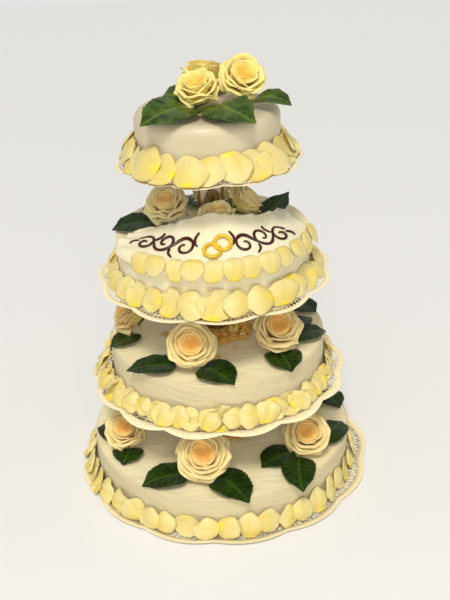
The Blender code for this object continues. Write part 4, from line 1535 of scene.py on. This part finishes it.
# ---------------------------------------------------------------- marzipan sheet
@dataclass
class MarzipanSheet:
    """The rolled sheet that leans from the upper tier's rim up to its roses."""

    tier: TierSpec
    thickness: float = 0.0024
    rim_radius: float = 0.1268
    rim_height: float = 0.0614
    edge_radius: float = 0.1318
    edge_height: float = 0.050
    crest_radius: float = 0.065
    crest_height: float = 0.1034
    rim_share: float = 0.86
    ends: tuple[float, float] = (-84.0, 99.0)
    inner_ends: tuple[float, float] = (-68.0, 70.0)

    def inner(self, bearing: Array) -> tuple[Array, Array]:
        """The inner edge: highest in front, and falling as a power of the bearing to each end.

        Args:
            bearing: bearings, in degrees.
        Returns:
            Its radius and its height over the doily.
        """
        right = np.clip(bearing / self.ends[1], 0.0, 1.2)
        left = np.clip(bearing / self.ends[0], 0.0, 1.2)
        radius = self.crest_radius + np.where(bearing > 0.0, 0.021 * right ** 1.6, 0.036 * left ** 4.0)
        height = self.crest_height - np.where(bearing > 0.0, 0.0284 * right ** 1.2, 0.0415 * left ** 1.3)
        return radius, height

    def point(self, bearing: Array, share: Array) -> Array:
        """A place on the middle of the sheet: straight from the inner edge to the rim, then drooping.

        Args:
            bearing: bearings, in degrees.
            share: from 0 at the inner edge to 1 at the outer one.
        Returns:
            The points.
        """
        bearing, share = np.broadcast_arrays(np.asarray(bearing, float), np.asarray(share, float))
        radius, height = self.inner(bearing)
        up = np.clip(share / self.rim_share, 0.0, 1.0)
        down = np.clip((share - self.rim_share) / (1.0 - self.rim_share), 0.0, 1.0)
        over = (self.edge_radius - self.rim_radius) * np.sin(down * math.pi / 2.0)
        out = mix(radius, self.rim_radius, up) + over
        high = mix(height, self.rim_height, up) - (self.rim_height - self.edge_height) * down ** 1.4
        sag = -0.0016 * np.sin(math.pi * up)
        return polar(out, bearing, self.tier.doily[0] + high + sag)

    def span(self, share: Array) -> tuple[Array, Array]:
        """Bearings of the two ends, which run in from the rim to the inner edge."""
        return mix(self.ends[0], self.inner_ends[0], share), mix(self.ends[1], self.inner_ends[1], share)

    def build(self, finishes: Finishes) -> None:
        """Grid the sheet, ruffle its inner edge and fold its two ends.

        The left end is layered by a sine and the right end has one pleat, a bell curve across
        it; both stand out along the normal. The ruffles are waves that fade from the inner edge.

        Args:
            finishes: the materials.
        """
        rng = np.random.default_rng(5)
        share = np.linspace(0.0, 1.0, 64)[:, None]
        left, right = self.span(share)
        along = np.linspace(0.0, 1.0, 330)[None, :]
        bearing = mix(left, right, along)
        grid = self.point(bearing, share)
        ruffle = 0.0009 * waves(along, rng, 8, 20) * (1.0 - share) ** 9
        lip = 0.0011 * waves(along, rng, 3, 8) * (1.0 - share) ** 3
        near_left = smooth(1.0 - along, 0.86, 1.0)
        near_right = smooth(along, 0.80, 1.0)
        layers = 0.0016 * near_left * np.sin(2.0 * math.pi * (share * 3.0 + along * 6.0))
        pleat = 0.0028 * near_right * np.exp(-((share - 0.22 - 0.5 * (1.0 - along) * 2.0) / 0.10) ** 2)
        dents = 0.0005 * waves(along * 1.5 + share * 0.5, rng, 1, 4)
        grid = grid + upward(grid_normals(grid)) * (layers + pleat + dents)[..., None]
        grid[..., 2] += ruffle + lip
        buffer = MeshBuffer()
        buffer.shell(grid, self.thickness)
        place(buffer.build("rolled_sheet", finishes.marzipan), "marzipan", "marzipan_sheet")

    def strand(self, bearing: Array, share: Array, lift: float) -> Array:
        """A path on the outer face of the sheet.

        Args:
            bearing: bearings, in degrees.
            share: from 0 at the inner edge to 1 at the outer one.
            lift: how far it stands off the face.
        Returns:
            The points.
        """
        step = 0.4
        here = self.point(bearing, share)
        across = self.point(bearing + step, share) - self.point(bearing - step, share)
        down = self.point(bearing, share + 0.01) - self.point(bearing, share - 0.01)
        return here + upward(unit(np.cross(across, down))) * (self.thickness / 2.0 + lift)


@dataclass
class EdgePetals:
    """Petals laid over the sheet's outer edge, hanging down outside it."""

    sheet: MarzipanSheet
    first: float = -48.0
    last: float = 78.0
    count: int = 12
    length: float = 0.0265
    width: float = 0.0285
    over_radii: tuple[float, float] = (0.1290, 0.1338)
    over_heights: tuple[float, float] = (0.0640, 0.0560)
    hem_radius: float = 0.1368
    hem_height: float = 0.0430
    mean_radius: float = 0.130
    thickness: float = 0.00035

    def build(self, finishes: Finishes) -> None:
        """Bend each petal along a path over the rim: up on the sheet, over it and down.

        The path is a cubic fitted to four points of radius and height.

        Args:
            finishes: the materials.
        """
        rng, buffer = np.random.default_rng(21), MeshBuffer()
        base = self.sheet.tier.doily[0]
        for index in range(self.count):
            bearing = mix(self.first, self.last, (index + 0.5) / self.count) + rng.uniform(-1.2, 1.2)
            petal = LoosePetal(self.length * rng.uniform(0.92, 1.05), self.width * rng.uniform(0.86, 1.12),
                               rng.uniform(0.0016, 0.0034), rng.uniform(0.0002, 0.0012), 0.4, rng)
            points, tone = petal.surface()
            points[..., 2] += 0.0012 * (index % 2) + points[..., 0] * rng.uniform(-0.10, 0.10)
            share = points[..., 1] / petal.length
            head_up = rng.random() < 0.5
            place_on = 1.0 - share if head_up else share
            knots = np.array([0.0, 0.35, 0.62, 1.0])
            start = self.sheet.point(np.array(bearing), np.array(self.sheet.rim_share * 0.90))
            tuck, drop = rng.uniform(0.0, 0.001), rng.uniform(-0.001, 0.003)
            radii = np.array([math.hypot(start[0], start[1]), *self.over_radii, self.hem_radius - tuck])
            heights = np.array([start[2] - base + 0.0020, *self.over_heights, self.hem_height + drop])
            fine = np.linspace(0.0, 1.0, 40)
            radius, height = (np.interp(place_on, fine, np.polyval(np.polyfit(knots, values, 3), fine))
                              for values in (radii, heights))
            sideways = points[..., 0] + rng.uniform(-0.12, 0.12) * (place_on - 0.5) * petal.length
            turn = bearing + np.degrees(sideways / self.mean_radius)
            placed = polar(radius + points[..., 2] * 0.75, turn, base + height + points[..., 2] * 0.65)
            buffer.shell(placed if head_up else placed[:, ::-1], self.thickness, tone)
        place(buffer.build("petal_row_sheet", finishes.petal), "petal", "petals_sheet")


@dataclass
class WeddingRings:
    """Two interlocked rings piped in yellow icing on the sheet."""

    sheet: MarzipanSheet
    radius: float = 0.0096
    stroke: float = 0.0023
    seats: tuple[tuple[float, float], ...] = ((-0.7, 0.62), (6.3, 0.50))
    crossings: tuple[float, float] = (4.0, 0.9)

    def build(self, finishes: Finishes) -> None:
        """Each ring is a circle on the sheet that passes over the other on one side and under on the other.

        Args:
            finishes: the materials.
        """
        buffer = MeshBuffer()
        for order, (bearing, share) in enumerate(self.seats):
            turn = np.linspace(0.0, 2.0 * math.pi, 73)
            reach = 0.1 * self.sheet.rim_share
            middle = self.sheet.point(np.array(bearing), np.array(share))
            local = math.hypot(middle[0], middle[1])
            below = self.sheet.point(np.array(bearing), np.array(share + reach))
            slope = np.linalg.norm(below - middle) / reach
            bearings = bearing + np.degrees(self.radius * np.cos(turn) / local)
            shares = share - self.radius * np.sin(turn) / slope
            lift = self.stroke * (0.85 + 0.75 * (1.0 + np.sin(turn + self.crossings[order])) / 2.0)
            lumps = self.stroke * (1.0 + 0.07 * np.sin(turn * 9.0 + order))
            here = self.sheet.strand(bearings, shares, 0.0)
            normal = unit(here - self.sheet.point(bearings, shares))
            buffer.tube(here + normal * lift[:, None], lumps, 12)
        place(buffer.build("icing_rings", finishes.ring_icing), "ring_icing", "wedding_rings")


@dataclass
class Scrollwork:
    """Dark piped scrolls on the sheet: on each side a waving vine with curls and short drops."""

    sheet: MarzipanSheet
    stroke: float = 0.0018
    aspect: float = 5.0
    sides: tuple[tuple[float, float, bool], ...] = ((-60.0, -10.5, False), (13.0, 59.0, True))

    def curl(self, root: tuple[float, float], centre: tuple[float, float], turns: float) -> Array:
        """A spiral from its root round its centre: the reach shrinks as 1 - 0.8 t, the angle grows by turns.

        Args:
            root: where it leaves the vine, in parts of the side's length and height.
            centre: its eye.
            turns: whole turns, negative to wind the other way.
        Returns:
            Points along it.
        """
        t = np.linspace(0.0, 1.0, 54)
        away = np.array([(root[0] - centre[0]) * self.aspect, root[1] - centre[1]])
        angle = math.atan2(away[1], away[0]) + turns * 2.0 * math.pi * t ** 0.9
        reach = np.hypot(*away) * (1.0 - 0.80 * t)
        across = centre[0] + reach * np.cos(angle) / self.aspect
        return np.stack([across, centre[1] + reach * np.sin(angle)], -1)

    def strokes(self) -> list[Array]:
        """One side's waving vine, its three curls and its four short drops.

        Returns:
            The lines, in parts of the side's length (0 to 1) and height (-1 to 1).
        """
        t = np.linspace(0.0, 1.0, 90)
        vine = np.stack([t, 0.62 * np.sin(t * 3.0 * math.pi + 0.2) * (1.0 - 0.25 * t)], -1)
        lines = [vine, self.curl((0.02, 0.20), (0.165, -0.16), -1.2),
                 self.curl((0.33, -0.05), (0.495, 0.20), 1.25), self.curl((0.66, 0.02), (0.82, -0.14), -1.2)]
        s = np.linspace(0.0, 1.0, 18)[:, None]
        for foot, tip, bow in (((0.30, 0.30), (0.36, 0.98), 0.03), ((0.63, -0.36), (0.70, -1.0), -0.03),
                               ((0.97, 0.10), (1.0, 0.86), -0.03), ((0.02, -0.10), (-0.03, -0.80), -0.03)):
            line = mix(np.array(foot), np.array(tip), s)
            line[:, :1] += bow * np.sin(math.pi * s)
            lines.append(line)
        return lines

    def build(self, finishes: Finishes) -> None:
        """Lay both sides, mirrored about the rings.

        Args:
            finishes: the materials.
        """
        buffer, rng = MeshBuffer(), np.random.default_rng(9)
        for low, high, flip in self.sides:
            for line in self.strokes():
                length = 1.0 - line[:, 0] if flip else line[:, 0]
                path = self.sheet.strand(mix(low, high, length), 0.50 - 0.235 * line[:, 1], 0.0004)
                taper = 0.66 + 0.34 * np.sin(np.linspace(0.3, 2.9, len(line)))
                lumps = 1.0 + 0.08 * waves(np.linspace(0.0, 1.0, len(line)), rng, 2, 6)
                buffer.tube(path, self.stroke * taper * lumps, 8)
        place(buffer.build("piped_scrolls", finishes.chocolate), "ring_icing")


# ----------------------------------------------------------------------- almonds
@dataclass
class AlmondHeap:
    """Toasted flakes heaped round the column over a small core, with a few strays."""

    tier: TierSpec
    reach: float
    sway: float
    flakes: int
    strays: int = 13
    peak: float = 0.0105
    inner: float = 0.0182
    margin: float = 0.003
    grain: int = 5
    thickness: float = 0.0005

    def edge(self, bearing: Array) -> Array:
        """Outline of the heap: the reach plus the sway times sin(3 a + 1) cos(5 a)."""
        angle = np.radians(bearing)
        return self.reach + self.sway * np.sin(3.0 * angle + 1.0) * np.cos(5.0 * angle)

    def add_core(self, buffer: MeshBuffer, base: float) -> None:
        """The low mound under the flakes: it falls as (1 - s)^1.2 from the column to its edge.

        Args:
            buffer: the heap's mesh.
            base: the height that it lies on.
        """
        bearing = ring(60)
        share = np.array([0.0, 0.0001, 0.35, 0.7, 1.0])[:, None]
        rise = self.peak - 0.003
        radius = mix(self.inner, self.edge(bearing) - 0.013, share)
        height = base + rise * (1.0 - share) ** 1.2 + 0.0002
        height = height - np.where(share == 0.0, rise, 0.0)
        buffer.sheet(polar(radius, bearing, height), np.array([0.3, 0.7, 0.5, 0.0]), wrap=True, flip=True)

    def flake(self, stray: bool, rng: np.random.Generator) -> tuple[Array, Array]:
        """A square grid pressed into a disc, x = u sqrt(1 - v^2 / 2), chipped, narrowed at one end and bent.

        Args:
            stray: whether it lies loose outside the heap.
            rng: source of its size, shape and tip.
        Returns:
            Points about its middle, already tipped, and how far out each one is.
        """
        u = np.linspace(-1.0, 1.0, self.grain)[None, :]
        v = np.linspace(-1.0, 1.0, self.grain)[:, None]
        x, y = u * np.sqrt(1.0 - v ** 2 / 2.0), v * np.sqrt(1.0 - u ** 2 / 2.0)
        outward, angle = np.sqrt(x ** 2 + y ** 2), np.arctan2(y, x)
        length = rng.uniform(0.0046, 0.0088) * (0.7 if stray else 1.0)
        width = length * rng.uniform(0.42, 0.66)
        chip = 1.0 - 0.16 * outward * np.cos(angle * rng.integers(1, 4) + rng.uniform(0.0, 6.28))
        bend = (0.0016 * (x ** 2 - 0.3) + 0.0008 * y) * rng.uniform(-1.0, 1.0)
        grid = np.stack([x * length * chip, y * width * chip * (1.0 - 0.34 * x), bend], -1)
        tip = abs(rng.normal(0.0, 26.0)) * (0.2 if stray else 1.0)
        turn = (Matrix.Rotation(rng.uniform(0.0, 6.28), 3, "Z") @ Matrix.Rotation(math.radians(tip), 3, "X")
                @ Matrix.Rotation(rng.uniform(0.0, 6.28), 3, "Z"))
        return grid @ np.array(turn).T, outward

    def build(self, finishes: Finishes) -> None:
        """Lay the core, then the flakes, and the strays last; the pile falls as (1 - s)^1.1.

        Args:
            finishes: the materials.
        """
        rng = np.random.default_rng(70 + len(self.tier.name))
        base, buffer = self.tier.top + 0.0003, MeshBuffer()
        self.add_core(buffer, base)
        for index in range(self.flakes):
            bearing = rng.uniform(0.0, 360.0)
            stray = index >= self.flakes - self.strays
            limit = float(self.edge(np.array(bearing)))
            span = rng.uniform(0.03, 1.0) ** 0.75
            away = mix(self.inner + self.margin, limit - self.margin, span)
            away = limit + rng.uniform(0.004, 0.024) if stray else away
            slope = max(0.0, 1.0 - (away - self.inner) / (limit - self.inner)) ** 1.1
            pile = 0.0 if stray else (self.peak - 0.002) * slope
            grid, outward = self.flake(stray, rng)
            rise = 0.0 if stray else rng.uniform(0.0, 0.0016)
            grid = grid + polar(away, bearing, base + 0.0005 + pile + rise)
            grid[..., 2] += max(0.0, base + 0.0004 - grid[..., 2].min())
            tone = stacked(outward, rng.random(), rng.random(), 0.0)
            buffer.shell(grid, self.thickness, tone)
        heap = buffer.build("almond_flakes_" + self.tier.name, finishes.almond)
        place(heap, "almond", "almonds_" + self.tier.name)


# ------------------------------------------------------------- plates and column
@dataclass
class Stand:
    """The bright column's three lengths and the thin plates that carry the upper tiers."""

    column_radius: float = 0.0175
    flange_radius: float = 0.030
    flange_thickness: float = 0.004
    middle: float = 0.001
    bevel: float = 0.0004
    facets: int = 128

    def turned(self, name: str, profile: Sequence[tuple[float, float]], material: Material,
               slot: str, node: str) -> None:
        """A profile, from the top down, turned round the axis.

        Args:
            name: the piece's name.
            profile: radius and height of each point.
            material: its material.
            slot: its material slot's name.
            node: the solid that it stands for.
        """
        points = np.array(profile)
        buffer = MeshBuffer()
        buffer.closed(polar(points[:, :1], ring(self.facets), points[:, 1:]))
        place(buffer.build(name, material), slot, node)

    def build(self, finishes: Finishes) -> None:
        """Plates with a rolled rim, plain column lengths and the flange under the top plate.

        Args:
            finishes: the materials.
        """
        middle, bevel = self.middle, self.bevel
        for tier in TIERS[1:]:
            low, high = (corner.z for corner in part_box("plate_" + tier.name))
            rim, turn = tier.plate_radius, np.radians(np.linspace(0.0, 180.0, 9))
            roll = (high - low) / 2.0
            edge = [(rim - roll + roll * math.sin(t), (low + high) / 2.0 + roll * math.cos(t)) for t in turn]
            profile = [(middle, high), (rim - 0.02, high), *edge, (rim - 0.02, low), (middle, low)]
            self.turned("carrier_plate_" + tier.name, profile, finishes.steel, "plate", "plate_" + tier.name)
        r, f = self.column_radius, self.flange_radius
        for name in ("bottom", "lower", "upper"):
            low, high = (corner.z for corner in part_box("column_" + name))
            head = [(middle, high), (r - bevel, high), (r, high - bevel)]
            if name == "upper":
                under, round_off = high - self.flange_thickness, 2.0 * bevel
                head = [(middle, high), (f - round_off, high), (f, high - round_off), (f, under + round_off),
                        (f - round_off, under), (r + 0.002, under), (r + bevel, under - 0.0006),
                        (r, under - 0.002)]
            shaft = [(r, mix(high - 0.007, low + 0.003, step / 6.0)) for step in range(7)]
            foot = [(r, low + 0.002), (r, low + bevel), (r - bevel, low), (middle, low)]
            self.turned("column_tube_" + name, head + shaft + foot, finishes.chrome, "column",
                        "column_" + name)


# ------------------------------------------------------------------------ studio
def set_up(name: str, data: bpy.types.ID, matrix: Matrix) -> bpy.types.Object:
    """Put a lamp or a camera into the scene.

    Args:
        name: its name.
        data: the lamp or the lens.
        matrix: its place and turn.
    Returns:
        The new object.
    """
    holder = bpy.data.objects.new(name, data)
    holder.matrix_world = matrix
    bpy.context.scene.collection.objects.link(holder)
    return holder


@dataclass(frozen=True)
class SoftBox:
    """A square soft light that faces the middle of the cake."""

    name: str
    place_at: tuple[float, float, float]
    size: float
    watts: float
    colour: Colour
    aim: tuple[float, float, float] = (0.0, 0.0, 0.28)

    def build(self) -> None:
        """Make the lamp and turn it to its aim."""
        lamp = bpy.data.lights.new(self.name, "AREA")
        lamp.size = self.size
        lamp.energy = self.watts
        lamp.color = self.colour
        toward = (Vector(self.aim) - Vector(self.place_at)).to_track_quat("-Z", "Y")
        set_up(self.name, lamp, Matrix.Translation(self.place_at) @ toward.to_matrix().to_4x4())


@dataclass
class Studio:
    """Pale floor, soft lights and the camera."""

    camera_place: tuple[float, float, float] = (0.0, -1.0791, 0.8152)
    pitch: float = 27.67
    roll: float = 2.75
    yaw: float = 0.586
    lens: float = 54.0
    floor_colour: Colour = (0.86, 0.86, 0.86)
    sky_colour: Colour = (1.0, 0.99, 0.97)
    sky_light: float = 0.43
    sky_seen: float = 0.78
    sun_strength: float = 1.75
    sun_colour: Colour = (1.0, 0.97, 0.90)
    sun_width: float = 13.0
    sun_tilt: float = 31.0
    sun_turn: float = -8.0
    boxes: tuple[SoftBox, ...] = (SoftBox("key", (-0.5, -1.5, 1.9), 0.7, 2.8, (1.0, 0.95, 0.86)),
                                  SoftBox("fill", (0.10, -1.45, 0.98), 0.5, 5.4, (1.0, 0.96, 0.88)))

    def add_floor(self) -> None:
        """A wide matt floor just under the cake."""
        bpy.ops.mesh.primitive_plane_add(size=8.0, location=(0.0, 0.0, -0.0005))
        floor = bpy.context.object
        floor.name = "studio_floor"
        graph = Graph("studio_floor")
        floor.data.materials.append(graph.finish(Base_Color=self.floor_colour, Roughness=0.8))

    def add_sky(self) -> None:
        """An even sky that lights the cake less than it shows behind it."""
        world = bpy.data.worlds.new("studio_world")
        world.use_nodes = True
        tree = world.node_tree
        tree.nodes["Background"].inputs[0].default_value = (*self.sky_colour, 1.0)
        seen = tree.nodes.new("ShaderNodeLightPath").outputs["Is Camera Ray"]
        strength = tree.nodes.new("ShaderNodeMapRange")
        strength.inputs["To Min"].default_value = self.sky_light
        strength.inputs["To Max"].default_value = self.sky_seen
        tree.links.new(seen, strength.inputs["Value"])
        tree.links.new(strength.outputs[0], tree.nodes["Background"].inputs[1])
        bpy.context.scene.world = world
        bpy.context.scene.view_settings.view_transform = "Standard"

    def add_sun(self) -> None:
        """A broad sun from above, a little in front and to one side."""
        sun = bpy.data.lights.new("overhead", "SUN")
        sun.energy = self.sun_strength
        sun.angle = math.radians(self.sun_width)
        sun.color = self.sun_colour
        set_up("overhead", sun, Matrix.Rotation(math.radians(self.sun_turn), 4, "Z")
               @ Matrix.Rotation(math.radians(self.sun_tilt), 4, "X"))

    def add_camera(self) -> None:
        """The camera in front of the cake, looking down on it."""
        lens = bpy.data.cameras.new("camera")
        lens.lens = self.lens
        lens.sensor_width = 36.0
        lens.clip_start = 0.05
        turned = (Matrix.Rotation(math.radians(90.0 - self.pitch), 4, "X")
                  @ Matrix.Rotation(math.radians(-self.roll), 4, "Z")
                  @ Matrix.Rotation(math.radians(-self.yaw), 4, "Y"))
        bpy.context.scene.camera = set_up("camera", lens, Matrix.Translation(self.camera_place) @ turned)

    def build(self) -> None:
        """Make the floor, the sky, the lamps and the camera."""
        self.add_floor()
        self.add_sky()
        for box in self.boxes:
            box.build()
        self.add_sun()
        self.add_camera()


def main() -> None:
    """Build every sub-assembly in order; each rose has its own seed."""
    logging.basicConfig(level=logging.INFO, format="%(name)s %(message)s")
    finishes = Finishes()
    seed = 100
    for tier in TIERS:
        CakeBody(tier).build(finishes)
        Doily(tier).build(finishes)
        PetalRow(tier).build(finishes)
        for spec in tier.roses:
            seed += 1
            Bloom(tier, spec, seed).build(finishes)
            Spray(tier, spec, seed).build(finishes)
    by_name = {tier.name: tier for tier in TIERS}
    sheet = MarzipanSheet(by_name["upper"])
    sheet.build(finishes)
    for dressing in (EdgePetals(sheet), WeddingRings(sheet), Scrollwork(sheet)):
        dressing.build(finishes)
    AlmondHeap(by_name["lower"], 0.050, 0.006, 230).build(finishes)
    AlmondHeap(by_name["bottom"], 0.058, 0.007, 290).build(finishes)
    Stand().build(finishes)
    Studio().build()


if __name__ == "__main__":
    main()
